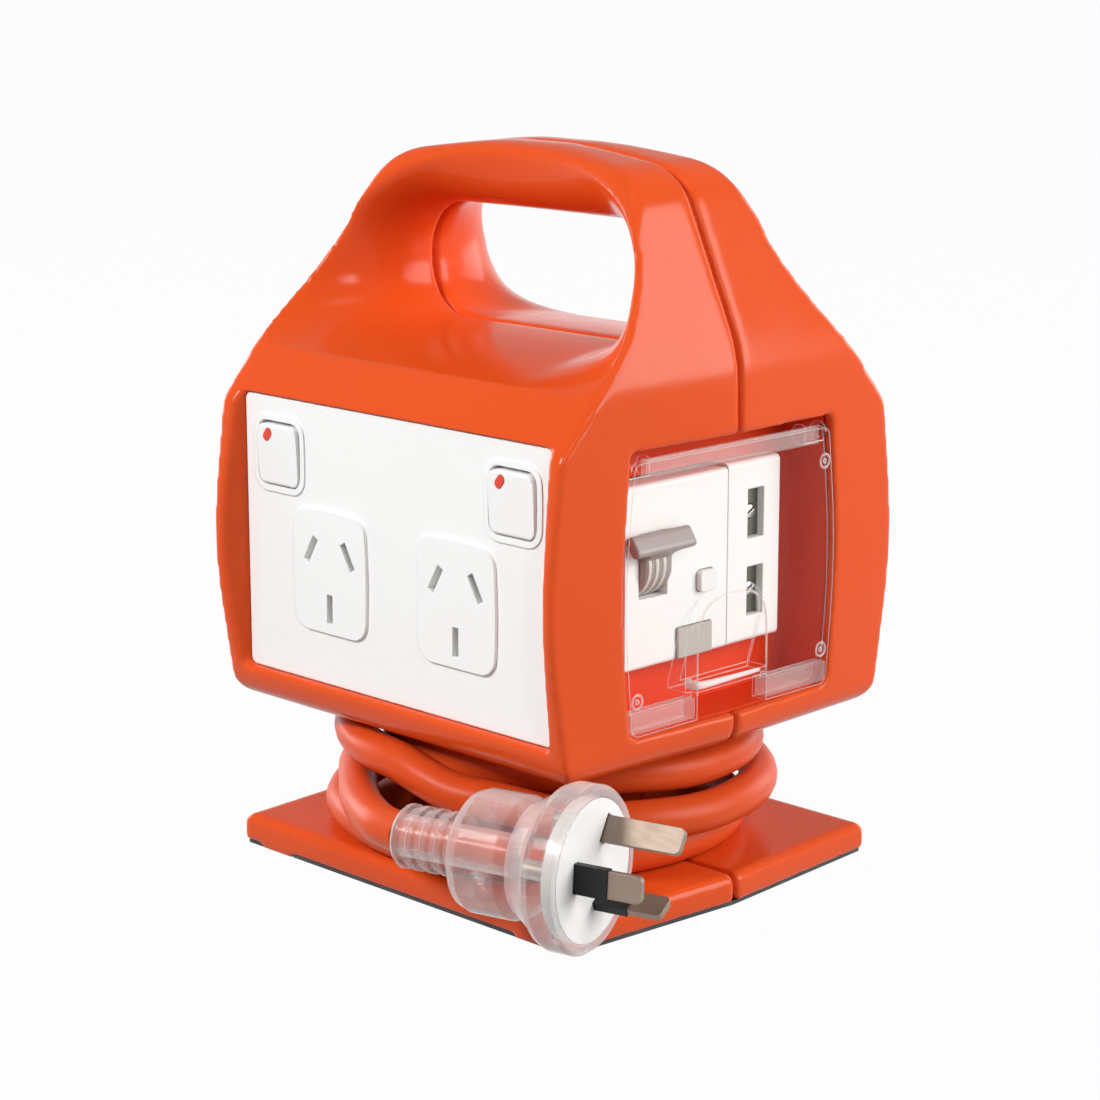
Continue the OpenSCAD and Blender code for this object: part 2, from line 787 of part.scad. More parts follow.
module socket_block() {
  difference() {
    union() {
      box([-block_w, -plate_back, block_z], [block_w, -shelf_back, shelf_top]);
      box([-core_w, -plate_back, block_z], [core_w, -block_back, shelf_top]);
      for (s = [-1, 1])
        box([s * switch_x - tower_w / 2, -plate_back, block_z], [s * switch_x + tower_w / 2, -shelf_back, tower_top]);
    }
    for (s = [-1, 1]) {
      at_pins(s * outlet_x)
        box([-contact_w / 2 - seat_gap, -far, -contact_t / 2 - seat_gap],
          [contact_w / 2 + seat_gap, -plate_back + contact_l + 1, contact_t / 2 + seat_gap]);
      box([s * switch_x - rocker_w / 2 - 0.5, -far, switch_z - rocker_h / 2 - rocker_play],
        [s * switch_x + rocker_w / 2 + 0.5, -pivot_y + 4.5, switch_z + rocker_h / 2 + rocker_play]);
      translate([s * switch_x, -pivot_y, switch_z])
        rotate([0, 90, 0])
          cylinder(h = rocker_w + 4.4, r = pivot_r + run_gap, center = true);
    }
  }
}

module contacts() {
  for (s = [-1, 1])
    at_pins(s * outlet_x)
      difference() {
        box([-contact_w / 2, -plate_back + 1, -contact_t / 2], [contact_w / 2, -plate_back + contact_l + 1, contact_t / 2]);
        box([-far, -far, -slot_t / 2], [far, -plate_back + contact_l, slot_t / 2]);
      }
}

mark_r = 1.15;
mark_h = 3.6;
mark_at = [-3.4, 5];
mark_lean = 40;
mark_depth = 0.5;

module mark_slab(y0, y1, grow) {
  translate([mark_at[0], 0, mark_at[1]])
    rotate([0, mark_lean, 0])
      front_slab(box_corners(-mark_r - grow, mark_r + grow, -mark_h / 2 - grow, mark_h / 2 + grow, mark_r), y0, y1);
}

// Places a rocker's own frame, with its pivot at the origin
module at_rocker(s) {
  translate([s * switch_x, -pivot_y, switch_z])
    rotate([rocker_tilt, 0, 0])
      children();
}

module rocker(s) {
  side = [[-rocker_front, -rocker_h / 2, 0.8], [-2, -rocker_h / 2, 1], [3, -3, 1], [3, 3, 1], [-2, rocker_h / 2, 1],
      [-rocker_front, rocker_h / 2, 0.8]];
  at_rocker(s) {
    difference() {
      intersection() {
        side_slab(side, -rocker_w / 2, rocker_w / 2);
        front_slab(rocker_outline, -far, far);
      }
      mark_slab(-far, -rocker_front + mark_depth, 0.05);
    }
    rotate([0, 90, 0])
      cylinder(h = rocker_w + 3.6, r = pivot_r, center = true);
  }
}

module mark(s) {
  at_rocker(s)
    mark_slab(-rocker_front - 0.15, -rocker_front + mark_depth, 0);
}

module front_faceplate() { color("white") faceplate(); }
module rear_faceplate() { color("white") rotate(180) faceplate(); }
module front_socket_block() { color("gainsboro") socket_block(); }
module rear_socket_block() { color("gainsboro") rotate(180) socket_block(); }
module front_contacts() { color("goldenrod") contacts(); }
module rear_contacts() { color("goldenrod") rotate(180) contacts(); }
module front_left_rocker() { color("white") rocker(-1); }
module front_right_rocker() { color("white") rocker(1); }
module rear_left_rocker() { color("white") rotate(180) rocker(-1); }
module rear_right_rocker() { color("white") rotate(180) rocker(1); }
module front_left_mark() { color("red") mark(-1); }
module front_right_mark() { color("red") mark(1); }
module rear_left_mark() { color("red") rotate(180) mark(-1); }
module rear_right_mark() { color("red") rotate(180) mark(1); }

// Inside wiring and the breaker

link_r = 1.6;
link_x = link_r + 1 - core_w;
link_step = 8;
link_z = block_z + 10;

module link(z) {
  translate([link_x, block_back, z])
    rotate([90, 0, 0])
      cylinder(h = 2 * block_back, r = link_r);
}

module active_link() { color("saddlebrown") link(link_z); }
module neutral_link() { color("steelblue") link(link_z + link_step); }
module earth_link() { color("yellowgreen") link(link_z + 2 * link_step); }

module din_rail() {
  lip = 4;
  sheet = 1;
  hat = [[rail_x, 0], [rail_x, lip], [rail_x - rail_d + sheet, lip], [rail_x - rail_d + sheet, rail_h - lip],
      [rail_x, rail_h - lip], [rail_x, rail_h], [rail_x - sheet, rail_h], [rail_x - sheet, rail_h - lip + sheet],
      [rail_x - rail_d, rail_h - lip + sheet], [rail_x - rail_d, lip - sheet], [rail_x - sheet, lip - sheet],
      [rail_x - sheet, 0]];
  color("silver")
    translate([0, block_back - 0.1, rail_z])
      rotate([90, 0, 0])
        linear_extrude(2 * block_back - 0.2)
          polygon(hat);
}

module breaker_body() {
  step_x = pocket_x - pocket_wall - 4;
  side = [[nose_x, nose_z, 1.2], [nose_x, nose_z + nose_h, 1.2], [step_x, nose_z + nose_h, 0.4],
      [step_x, nose_z + nose_h + 3, 1], [rail_x, nose_z + nose_h + 3, 1], [rail_x, nose_z - 7, 1],
      [step_x, nose_z - 7, 1], [step_x, nose_z, 0.4]];
  color("white")
    difference() {
      front_slab(side, breaker_y, breaker_y + breaker_w);
      translate([axle_x, drum_y, axle_z])
        rotate([90, 0, 0]) {
          cylinder(h = drum_w + 2 * run_gap, r = drum_r + run_gap, center = true);
          cylinder(h = drum_w + 5, r = 1.5 + run_gap, center = true);
        }
      box([axle_x + 2, drum_y - drum_w / 2 - run_gap, axle_z - slot_h],
        [far, drum_y + drum_w / 2 + run_gap, axle_z + slot_h]);
      side_slab(inset(button_outline, -run_gap), nose_x - 7, far);
      box([nose_x - 1.5, clip_y - seat_gap, nose_z + 0.6 - seat_gap], [far, clip_y + clip_w + seat_gap, nose_z + 0.6 + clip_h + seat_gap]);
    }
}

module breaker_toggle() {
  color("gray")
    translate([axle_x, drum_y, axle_z])
      rotate([0, -toggle_angle, 0]) {
        rotate([90, 0, 0]) {
          cylinder(h = drum_w, r = drum_r, center = true);
          cylinder(h = drum_w + 4, r = 1.5, center = true);
        }
        box([drum_r - 2, -drum_w / 2, -bar_t / 2], [bar_in + 1, drum_w / 2, bar_t / 2]);
        translate([0, -0.6, 0])
          front_slab(box_corners(bar_in, bar_out, -bar_t / 2, bar_t / 2, 0.8), -bar_w / 2, bar_w / 2);
      }
}

module test_button() {
  color("silver")
    side_slab(button_outline, nose_x - 5.5, nose_x + 1.5);
}

module breaker_clip() {
  color("darkgray")
    box([nose_x - 1.5, clip_y, nose_z + 0.6], [nose_x + 0.8, clip_y + clip_w, nose_z + 0.6 + clip_h]);
}

module terminal_carrier() {
  step_x = pocket_x - pocket_wall - 4;
  tab_h = 2.4;
  tab_w = 0.9;
  side = [[nose_x, nose_z, 1.5], [nose_x, nose_z + nose_h + carrier_rise, 1.5], [rail_x, nose_z + nose_h + carrier_rise, 1],
      [rail_x, nose_z, 1]];
  color("white")
    difference() {
      union() {
        front_slab(side, carrier_y, carrier_y + carrier_w);
        for (z = [nose_z + 0.4, nose_z + nose_h + carrier_rise - tab_h - 0.4])
          box([nose_x - 3.5, carrier_y + carrier_w - 1, z], [nose_x - 1.7, carrier_y + carrier_w + tab_w, z + tab_h]);
      }
      for (z = bay_z)
        box([nose_x - bay_d, bay_y, z], [far, bay_y + bay_w, z + bay_h]);
    }
}

module terminal_clamps() {
  color("goldenrod")
    for (z = bay_z)
      difference() {
        box([nose_x - bay_d, bay_y + seat_gap, z + seat_gap], [nose_x - 2, bay_y + bay_w - seat_gap, z + bay_h - seat_gap]);
        translate([nose_x - 3.5, bay_y + bay_w / 2, z + bay_h / 2])
          rotate([0, 90, 0])
            cylinder(h = 4, r = 2);
      }
}

// Clear cover, hinged along its upper edge
module window_cover() {
  wide = window_w - cover_gap;
  low = win_z + cover_gap;
  outline = both_sides([[cover_end, low, 2.5], [wide, win_mid, 170], [cover_end - 0.5, cover_top, 2.5]], []);
  arch = both_sides([[recess_w, low - 1, 0], [recess_w, recess_top, 0.8 * recess_w]], []);
  inner_x = cover_x - cover_t;
  slant = [[cover_x + 1, recess_top, 0], [cover_x, recess_top, 0], [cover_x - recess_d, recess_z, 0],
      [cover_x + 1, recess_z, 0]];
  slant_shell = [[cover_x, recess_top + 1, 0], [inner_x, recess_top + 1, 0], [inner_x - recess_d, recess_z, 0],
      [inner_x - recess_d, recess_z - cover_t, 0], [cover_x, recess_z - cover_t, 0]];
  color("white", 0.35)
    difference() {
      union() {
        side_slab(outline, inner_x, cover_x);
        intersection() {
          side_slab(outline, cover_x - 4.5, cover_x);
          box([0, -far, 0], [far, far, low + hem_h]);
        }
        intersection() {
          front_slab(slant_shell, -far, far);
          side_slab(inset(arch, -cover_t), 0, far);
        }
        for (s = [-1, 1])
          translate([hinge_x, s * (cover_end - run_gap), hinge_z])
            rotate([90 * s, 0, 0]) {
              cylinder(h = knuckle_l, r = knuckle_r);
              translate([0, 0, -run_gap - stub_l])
                cylinder(h = run_gap + stub_l + 1, r = stub_r);
            }
      }
      intersection() {
        front_slab(slant, -far, far);
        side_slab(arch, 0, far);
      }
      box([cover_x - 5, -recess_w, 0], [far, recess_w, recess_z - cover_t]);
    }
}

// Cord, gland and plug

module cord_gland() {
  color("orangered") {
    translate(lead_in + [0, seat_gap, 0])
      rotate([-90, 0, 0])
        cylinder(h = gland_l + gland_root, r1 = gland_r - 0.4, r2 = gland_r);
    box([lead_in[0], lead_in[1] + gland_l, lead_in[2] - gland_r],
      [lead_route[0][0], lead_in[1] + gland_l + gland_block, lead_in[2] + gland_r]);
  }
}

module inner_lead() {
  color("orangered")
    tube(lead_route, cord_d / 2 - 1, 8, [1, 0, 0], unit([0.02, 0, 1]));
}

module cord_winding() {
  color("orangered")
    tube(wind_path, cord_d / 2, wind_sides, [0, -1, 0], wind_leave);
}

module cord_tail() {
  color("orangered")
    tube(tail_path, cord_d / 2, tail_sides, wind_leave, plug_dir);
}

// The plug's own frame: its face at the origin, its pins along +X
module at_plug() {
  translate(plug_face)
    rotate(plug_turn)
      children();
}

// A piece at pin i of the plug, its width along local Y
module at_plug_pin(i) {
  rotate([pin_angles[i], 0, 0])
    translate([0, i == 2 ? earth_circle : pin_circle, 0])
      rotate([i == 2 ? 0 : 90, 0, 0])
        children();
}

module plug_body() {
  flange_r = flange_d / 2;
  grip_r2 = plug_grip_d / 2;
  tail_r = plug_tail_d / 2;
  ribs = 4;
  rib_step = 4;
  outline = concat(
    [[0, -plug_l], [tail_r - 0.8, -plug_l], [tail_r, -plug_l + 1]],
    [for (k = [0:ribs - 1]) each [[tail_r, -plug_l + 2.2 + k * rib_step], [tail_r - 0.7, -plug_l + 2.8 + k * rib_step],
        [tail_r - 0.7, -plug_l + 4.2 + k * rib_step], [tail_r, -plug_l + 4.8 + k * rib_step]]],
    [[grip_r2 - 3, -plug_l + 18.5], [grip_r2 - 0.9, -plug_l + 20], [grip_r2, -plug_l + 22.5], [grip_r2, -18],
      [grip_r2 - 1, -15.5], [grip_r2 + 0.4, -13], [flange_r - 2.4, -9.5], [flange_r - 0.7, -7.8], [flange_r, -6],
      [flange_r, -1], [flange_r - 0.8, 0], [0, 0]]);
  color("white", 0.35)
    at_plug()
      difference() {
        rotate([0, 90, 0])
          rotate_extrude()
            polygon(outline);
        translate([-plug_l - 1, 0, 0])
          rotate([0, 90, 0])
            cylinder(h = sheath_l + 1, r = cord_d / 2 + 0.1);
        translate([-insert_t, 0, 0])
          rotate([0, 90, 0])
            cylinder(h = insert_t + 1, r = insert_r + 0.1);
        for (i = [0:2])
          at_plug_pin(i)
            translate([-insert_t - terminal_l, 0, 0])
              rotate([0, 90, 0])
                cylinder(h = terminal_l + 1, r = terminal_r + 0.1);
      }
}

module plug_insert() {
  color("white")
    at_plug()
      difference() {
        translate([-insert_t, 0, 0])
          rotate([0, 90, 0])
            cylinder(h = insert_t, r = insert_r);
        for (i = [0:2])
          at_plug_pin(i)
            cube([3 * insert_t, pin_w + 2 * sleeve_t + 0.2, pin_t + 2 * sleeve_t + 0.2], center = true);
      }
}

module plug_sheath() {
  color("orangered")
    at_plug()
      translate([-plug_l, 0, 0])
        rotate([0, 90, 0])
          cylinder(h = sheath_l, r = cord_d / 2);
}

module plug_terminals() {
  color("goldenrod")
    at_plug()
      for (i = [0:2])
        at_plug_pin(i)
          translate([-insert_t - terminal_l, 0, 0])
            rotate([0, 90, 0])
              cylinder(h = terminal_l, r = terminal_r);
}

// Blade of one pin, with a nose that draws in
module pin_blade(length) {
  outline = [[-insert_t, -pin_w / 2, 0], [length, -pin_w / 2, 1.4], [length, pin_w / 2, 1.4], [-insert_t, pin_w / 2, 0]];
  translate([0, 0, -pin_t / 2])
    linear_extrude(pin_t)
      polygon(rounded(outline));
}

module plug_active_pin() { color("silver") at_plug() at_plug_pin(0) pin_blade(pin_l); }
module plug_neutral_pin() { color("silver") at_plug() at_plug_pin(1) pin_blade(pin_l); }
module plug_earth_pin() { color("silver") at_plug() at_plug_pin(2) pin_blade(earth_l); }

module plug_pin_sleeves() {
  color("black")
    at_plug()
      for (i = [0:1])
        at_plug_pin(i)
          difference() {
            box([-1, -pin_w / 2 - sleeve_t, -pin_t / 2 - sleeve_t], [sleeve_l, pin_w / 2 + sleeve_t, pin_t / 2 + sleeve_t]);
            cube([far, pin_w, pin_t], center = true);
          }
}

front_housing();
rear_housing();
breaker_pocket();
base_pad();
housing_screws();
front_faceplate();
rear_faceplate();
front_socket_block();
rear_socket_block();
front_contacts();
rear_contacts();
front_left_rocker();
front_right_rocker();
rear_left_rocker();
rear_right_rocker();
front_left_mark();
front_right_mark();
rear_left_mark();
rear_right_mark();
active_link();
neutral_link();
earth_link();
din_rail();
breaker_body();
breaker_toggle();
test_button();
breaker_clip();
terminal_carrier();
terminal_clamps();
window_cover();
cord_gland();
inner_lead();
cord_winding();
cord_tail();
plug_body();
plug_insert();
plug_sheath();
plug_terminals();
plug_active_pin();
plug_neutral_pin();
plug_earth_pin();
plug_pin_sleeves();
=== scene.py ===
"""Dressed model of a portable mains power centre: its finishes, its wound cord and its studio."""
import logging
import math
from dataclasses import dataclass
from enum import Enum
from typing import Any, Union

import bmesh
import bpy
import numpy as np
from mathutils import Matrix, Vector


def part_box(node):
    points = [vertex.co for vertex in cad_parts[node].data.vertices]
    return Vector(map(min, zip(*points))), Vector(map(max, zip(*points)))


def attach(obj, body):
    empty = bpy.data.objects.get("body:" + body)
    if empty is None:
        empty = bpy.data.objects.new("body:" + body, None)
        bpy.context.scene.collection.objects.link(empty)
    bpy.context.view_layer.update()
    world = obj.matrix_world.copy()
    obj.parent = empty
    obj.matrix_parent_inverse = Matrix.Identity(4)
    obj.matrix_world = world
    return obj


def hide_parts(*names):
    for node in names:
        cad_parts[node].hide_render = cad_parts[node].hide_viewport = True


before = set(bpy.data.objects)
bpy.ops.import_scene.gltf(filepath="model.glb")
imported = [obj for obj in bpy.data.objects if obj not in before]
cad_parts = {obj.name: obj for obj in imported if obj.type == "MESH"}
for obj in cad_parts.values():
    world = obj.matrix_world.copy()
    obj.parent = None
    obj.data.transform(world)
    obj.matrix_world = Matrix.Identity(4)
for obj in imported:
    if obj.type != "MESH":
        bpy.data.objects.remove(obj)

log = logging.getLogger("power_centre")

MM = 0.001
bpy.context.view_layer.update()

Colour = tuple[float, float, float, float]
Point = tuple[float, float, float]

PURE_WHITE: Colour = (1.0, 1.0, 1.0, 1.0)
NOISE_MEAN = 0.5
EDGE_SAMPLES = 6


class Body(Enum):
    """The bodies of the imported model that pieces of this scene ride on."""

    CASE = "case"
    COVER = "cover"
    TOGGLE = "toggle"


class Slot(Enum):
    """Material slot names handed along with new pieces; nothing reads them, and each piece takes its finish
    from a Finish.
    """

    HOUSING = "housing"
    CORD = "cord"
    CLEAR = "clear"
    METAL = "steel"
    TOGGLE = "toggle"


def linear(red: int, green: int, blue: int) -> Colour:
    """Linear colour of three display values.

    Args:
        red: Red from 0 to 255, as a screen shows it.
        green: Green, likewise.
        blue: Blue, likewise.

    Returns:
        The colour that a shader takes, opaque.
    """
    parts = []
    for value in (red, green, blue):
        part = value / 255
        parts.append(part / 12.92 if part <= 0.04045 else ((part + 0.055) / 1.055) ** 2.4)
    return (parts[0], parts[1], parts[2], 1.0)


def scaled(colour: Colour, share: float) -> Colour:
    """A colour made darker or brighter.

    Args:
        colour: The colour.
        share: What its parts are multiplied by; none passes 1.

    Returns:
        The new colour, opaque.
    """
    red, green, blue = (min(1.0, part * share) for part in colour[:3])
    return (red, green, blue, 1.0)


def paled(colour: Colour, share: float) -> Colour:
    """A colour drawn towards white.

    Args:
        colour: The colour.
        share: Share of white.

    Returns:
        The new colour, opaque.
    """
    red, green, blue = (part + (1 - part) * share for part in colour[:3])
    return (red, green, blue, 1.0)


def placed(name: str, data: bpy.types.ID) -> bpy.types.Object:
    """Puts a new object into the scene.

    Args:
        name: Its name.
        data: Its mesh, curve, lamp or camera.

    Returns:
        The object.
    """
    made = bpy.data.objects.new(name, data)
    bpy.context.scene.collection.objects.link(made)
    return made


class Sock:
    """One output of a material's nodes, used in plain Python maths."""

    def __init__(self, graph: "Graph", socket: bpy.types.NodeSocket) -> None:
        """Keeps the socket and the graph that new nodes go to."""
        self.graph = graph
        self.socket = socket

    def __add__(self, other: "Value") -> "Sock":
        """Sum of two values."""
        return self.graph.maths("ADD", self, other)

    def __radd__(self, other: "Value") -> "Sock":
        """Sum, with this value second."""
        return self.graph.maths("ADD", other, self)

    def __sub__(self, other: "Value") -> "Sock":
        """Difference of two values."""
        return self.graph.maths("SUBTRACT", self, other)

    def __rsub__(self, other: "Value") -> "Sock":
        """Difference, with this value second."""
        return self.graph.maths("SUBTRACT", other, self)

    def __mul__(self, other: "Value") -> "Sock":
        """Product of two values."""
        return self.graph.maths("MULTIPLY", self, other)

    def __rmul__(self, other: "Value") -> "Sock":
        """Product, with this value second."""
        return self.graph.maths("MULTIPLY", other, self)

    def __truediv__(self, other: "Value") -> "Sock":
        """Quotient of two values."""
        return self.graph.maths("DIVIDE", self, other)

    def __rtruediv__(self, other: "Value") -> "Sock":
        """Quotient, with this value second."""
        return self.graph.maths("DIVIDE", other, self)

    def clamped(self) -> "Sock":
        """This value held between 0 and 1."""
        return self.graph.node("Clamp", {}, {"Value": self})


Value = Union[Sock, float, Colour, Point]


class Graph:
    """The nodes of one material or world."""

    def __init__(self, tree: bpy.types.NodeTree) -> None:
        """Empties the tree, so that every node in it is one of ours."""
        self.tree = tree
        tree.nodes.clear()

    def node(self, kind: str, settings: dict[str, Any], sockets: dict[Any, Value], out: Any = 0) -> Sock:
        """Adds a node.

        Args:
            kind: The node's type, without its ShaderNode prefix.
            settings: Its own settings, set first.
            sockets: A value or a link for each named or numbered input.
            out: Name or number of the output that is wanted.

        Returns:
            That output, or the first input of a node that ends the tree.
        """
        made = self.tree.nodes.new("ShaderNode" + kind)
        for key, setting in settings.items():
            setattr(made, key, setting)
        for key, value in sockets.items():
            if isinstance(value, Sock):
                self.tree.links.new(value.socket, made.inputs[key])
            else:
                made.inputs[key].default_value = value
        return Sock(self, (made.outputs or made.inputs)[out])

    def maths(self, operation: str, first: Value, second: Value) -> Sock:
        """Adds the node that works out one operation.

        Args:
            operation: ADD, SUBTRACT, MULTIPLY or DIVIDE.
            first: Left value.
            second: Right value.

        Returns:
            A number, a vector or a colour, as the values are.
        """
        kinds = {value.socket.type for value in (first, second) if isinstance(value, Sock)}
        if "RGBA" in kinds:
            return self.mix(1.0, first, second, operation)
        if "VECTOR" in kinds:
            return self.node("VectorMath", {"operation": operation}, {0: first, 1: second})
        return self.node("Math", {"operation": operation}, {0: first, 1: second})

    def mix(self, factor: Value, first: Value, second: Value, blend: str = "MIX") -> Sock:
        """Mixes two colours.

        Args:
            factor: Share of the second colour.
            first: First colour.
            second: Second colour.
            blend: How they mix.

        Returns:
            The mixed colour.
        """
        settings = {"data_type": "RGBA", "blend_type": blend}
        return self.node("Mix", settings, {0: factor, 6: first, 7: second}, 2)

    def place(self) -> Sock:
        """Where a point of the piece is, in the piece's own metres."""
        return self.node("TexCoord", {}, {}, "Object")

    def noise(self, scale: float, detail: float = 2.0, vector: Value | None = None) -> Sock:
        """Soft noise from 0 to 1.

        Args:
            scale: Cells to a metre.
            detail: Octaves.
            vector: Where it is read, or None for the piece's own place.

        Returns:
            The noise.
        """
        where = self.place() if vector is None else vector
        return self.node("TexNoise", {}, {"Vector": where, "Scale": scale, "Detail": detail})

    def edges(self, radius: float) -> tuple[Sock, Sock]:
        """Rounds the look of the edges.

        Args:
            radius: Radius of the rounding, in millimetres.

        Returns:
            The rounded normal, and a mask that is 0 on flat faces and grows on edges.
        """
        soft = self.node("Bevel", {"samples": EDGE_SAMPLES}, {"Radius": radius * MM})
        plain = self.node("NewGeometry", {}, {}, "Normal")
        same = self.node("VectorMath", {"operation": "DOT_PRODUCT"}, {0: soft, 1: plain}, "Value")
        return soft, 1.0 - same

    def bump(self, height: Value, distance: float, normal: Value | None = None) -> Sock:
        """Turns a height into a normal.

        Args:
            height: Height from 0 to 1.
            distance: What a height of 1 stands for, in millimetres.
            normal: The normal that it adds to, or None for the face's own.

        Returns:
            The normal.
        """
        sockets = {"Height": height, "Distance": distance * MM, "Strength": 1.0}
        if normal is not None:
            sockets["Normal"] = normal
        return self.node("Bump", {}, sockets)

    def surface(self, shader: Sock) -> None:
        """Ends the material in this shader."""
        self.node("OutputMaterial", {}, {"Surface": shader})


@dataclass(frozen=True)
class Finish:
    """A finish that pieces share, with its colour."""

    name: str
    colour: Colour

    def material(self) -> bpy.types.Material:
        """Makes the finish's material, once.

        Returns:
            The material.
        """
        found = bpy.data.materials.get(self.name)
        if found is not None:
            return found
        made = bpy.data.materials.new(self.name)
        made.use_nodes = True
        made.diffuse_color = self.colour
        self.shade(Graph(made.node_tree))
        return made

    def shade(self, graph: Graph) -> None:
        """Builds the finish's nodes.

        Args:
            graph: The nodes of its material.
        """
        raise NotImplementedError

    def dress(self, piece: bpy.types.Object) -> None:
        """Gives a piece this finish.

        Args:
            piece: The piece, or a CAD node.
        """
        if not piece.material_slots:
            piece.data.materials.append(None)
        for slot in piece.material_slots:
            slot.material = self.material()


@dataclass(frozen=True)
class MouldedPlastic(Finish):
    """Moulded plastic: a slow drift in its colour, a fine mould grain and edges rubbed a little paler."""

    rough: float = 0.34
    drift: float = 0.05
    grain: float = 0.006
    grain_scale: float = 1400.0
    edge: float = 0.5
    wear: float = 0.25
    specular: float = 0.5
    scuffs: float = 0.12
    cloud_scale: float = 22.0
    scuff_scale: float = 160.0
    speck_rough: float = 0.05
    rubbed: float = 0.3

    def shade(self, graph: Graph) -> None:
        """Builds the finish's nodes.

        Args:
            graph: The nodes of its material.
        """
        cloud = graph.noise(self.cloud_scale, detail=3.0)
        speck = graph.noise(self.grain_scale)
        scuff = graph.noise(self.scuff_scale, detail=6.0)
        normal, edge = graph.edges(self.edge)
        toned = graph.mix(cloud, scaled(self.colour, 1 - self.drift), scaled(self.colour, 1 + self.drift))
        rub = (edge * self.wear * scuff).clamped()
        rough = self.rough + (scuff - NOISE_MEAN) * self.scuffs + (speck - NOISE_MEAN) * self.speck_rough
        shader = graph.node("BsdfPrincipled", {}, {
            "Base Color": graph.mix(rub, toned, paled(self.colour, self.rubbed)),
            "Roughness": rough.clamped(),
            "Normal": graph.bump(speck, self.grain, normal),
            "Specular IOR Level": self.specular,
        })
        graph.surface(shader)


@dataclass(frozen=True)
class ClearPlastic(Finish):
    """Clear or milky moulded plastic: light goes through it, with faint flow lines and rounded edges."""

    rough: float = 0.03
    haze: float = 0.1
    flow: float = 0.02
    edge: float = 0.4
    ior: float = 1.3
    through: float = 1.0
    specular: float = 0.5
    open_share: float = 0.35
    open_to_light: float = 0.92
    # line: how far edges show the milky body, a painted highlight for bright lines along clear edges.
    line: float = 0.0
    rim: float = 0.0
    soft: bool = True
    flow_scale: float = 70.0
    flow_rough: float = 0.5
    scuff_scale: float = 420.0
    clear_up_to: float = 0.45
    rim_blend: float = 0.4

    def shade(self, graph: Graph) -> None:
        """Builds the finish's nodes.

        Args:
            graph: The nodes of its material.
        """
        flow = graph.noise(self.flow_scale)
        scuff = graph.noise(self.scuff_scale, detail=5.0)
        normal, edge = graph.edges(self.edge)
        scuffed = ((scuff - self.clear_up_to) * self.haze).clamped()
        rough = self.rough + scuffed + (flow - NOISE_MEAN) * self.haze * self.flow_rough
        body = graph.node("BsdfPrincipled", {}, {
            "Base Color": self.colour,
            "Roughness": rough.clamped(),
            "IOR": self.ior,
            "Specular IOR Level": self.specular,
            "Transmission Weight": self.through,
            "Normal": graph.bump(flow, self.flow, normal if self.soft else None),
        })
        gap = graph.node("BsdfTransparent", {}, {"Color": self.colour})
        shadow = graph.node("LightPath", {}, {}, "Is Shadow Ray")
        share = self.open_share + shadow * (self.open_to_light - self.open_share)
        glance = graph.node("LayerWeight", {}, {"Blend": self.rim_blend}, "Facing")
        # The edge term shows the milky body on edges, a painted highlight of bright edge lines.
        solid = (1.0 - (edge * self.line).clamped()) * (1.0 - glance * self.rim)
        graph.surface(graph.node("MixShader", {}, {0: share * solid, 1: body, 2: gap}))

    def dress(self, piece: bpy.types.Object) -> None:
        """Gives a piece this finish, and keeps stray bright spots off what it stands before."""
        super().dress(piece)
        piece.visible_diffuse = False


@dataclass(frozen=True)
class PressedMetal(Finish):
    """Pressed and plated metal: fine drawn lines, and a bloom where it has been handled."""

    rough: float = 0.22
    lines: float = 0.004
    edge: float = 0.25
    along: Point = (30.0, 900.0, 900.0)
    bloom_scale: float = 120.0
    bloom_gain: float = 1.6
    bloom_from: float = 0.5
    bloom_share: float = 0.6
    dulled: float = 0.72
    drawn_rough: float = 0.14
    bloom_rough: float = 0.12
    edge_gain: float = 0.2
    edge_polish: float = 0.3

    def shade(self, graph: Graph) -> None:
        """Builds the finish's nodes.

        Args:
            graph: The nodes of its material.
        """
        drawn = graph.noise(1.0, detail=3.0, vector=graph.place() * self.along)
        bloom = graph.noise(self.bloom_scale, detail=4.0)
        normal, edge = graph.edges(self.edge)
        grained = (drawn - NOISE_MEAN) * self.drawn_rough + (bloom - NOISE_MEAN) * self.bloom_rough
        rough = self.rough + grained - (edge * self.edge_gain).clamped() * self.edge_polish
        bloomed = (bloom * self.bloom_gain - self.bloom_from).clamped() * self.bloom_share
        shader = graph.node("BsdfPrincipled", {}, {
            "Base Color": graph.mix(bloomed, self.colour, scaled(self.colour, self.dulled)),
            "Metallic": 1.0,
            "Roughness": rough.clamped(),
            "Normal": graph.bump(drawn, self.lines, normal),
        })
        graph.surface(shader)


@dataclass(frozen=True)
class SoftRubber(Finish):
    """Dull rubber or soft vinyl: a fine dusty grain and no sharp gloss."""

    rough: float = 0.75
    grain: float = 0.02
    edge: float = 0.4
    speck_scale: float = 900.0
    speck_rough: float = 0.2
    dust_scale: float = 60.0
    dust_gain: float = 2.0
    dust_from: float = 0.9
    dust_share: float = 0.5
    dusty: float = 0.14

    def shade(self, graph: Graph) -> None:
        """Builds the finish's nodes.

        Args:
            graph: The nodes of its material.
        """
        speck = graph.noise(self.speck_scale, detail=3.0)
        dust = graph.noise(self.dust_scale, detail=5.0)
        normal, _ = graph.edges(self.edge)
        settled = (dust * self.dust_gain - self.dust_from).clamped() * self.dust_share
        shader = graph.node("BsdfPrincipled", {}, {
            "Base Color": graph.mix(settled, self.colour, paled(self.colour, self.dusty)),
            "Roughness": (self.rough + (speck - NOISE_MEAN) * self.speck_rough).clamped(),
            "Normal": graph.bump(speck, self.grain, normal),
        })
        graph.surface(shader)


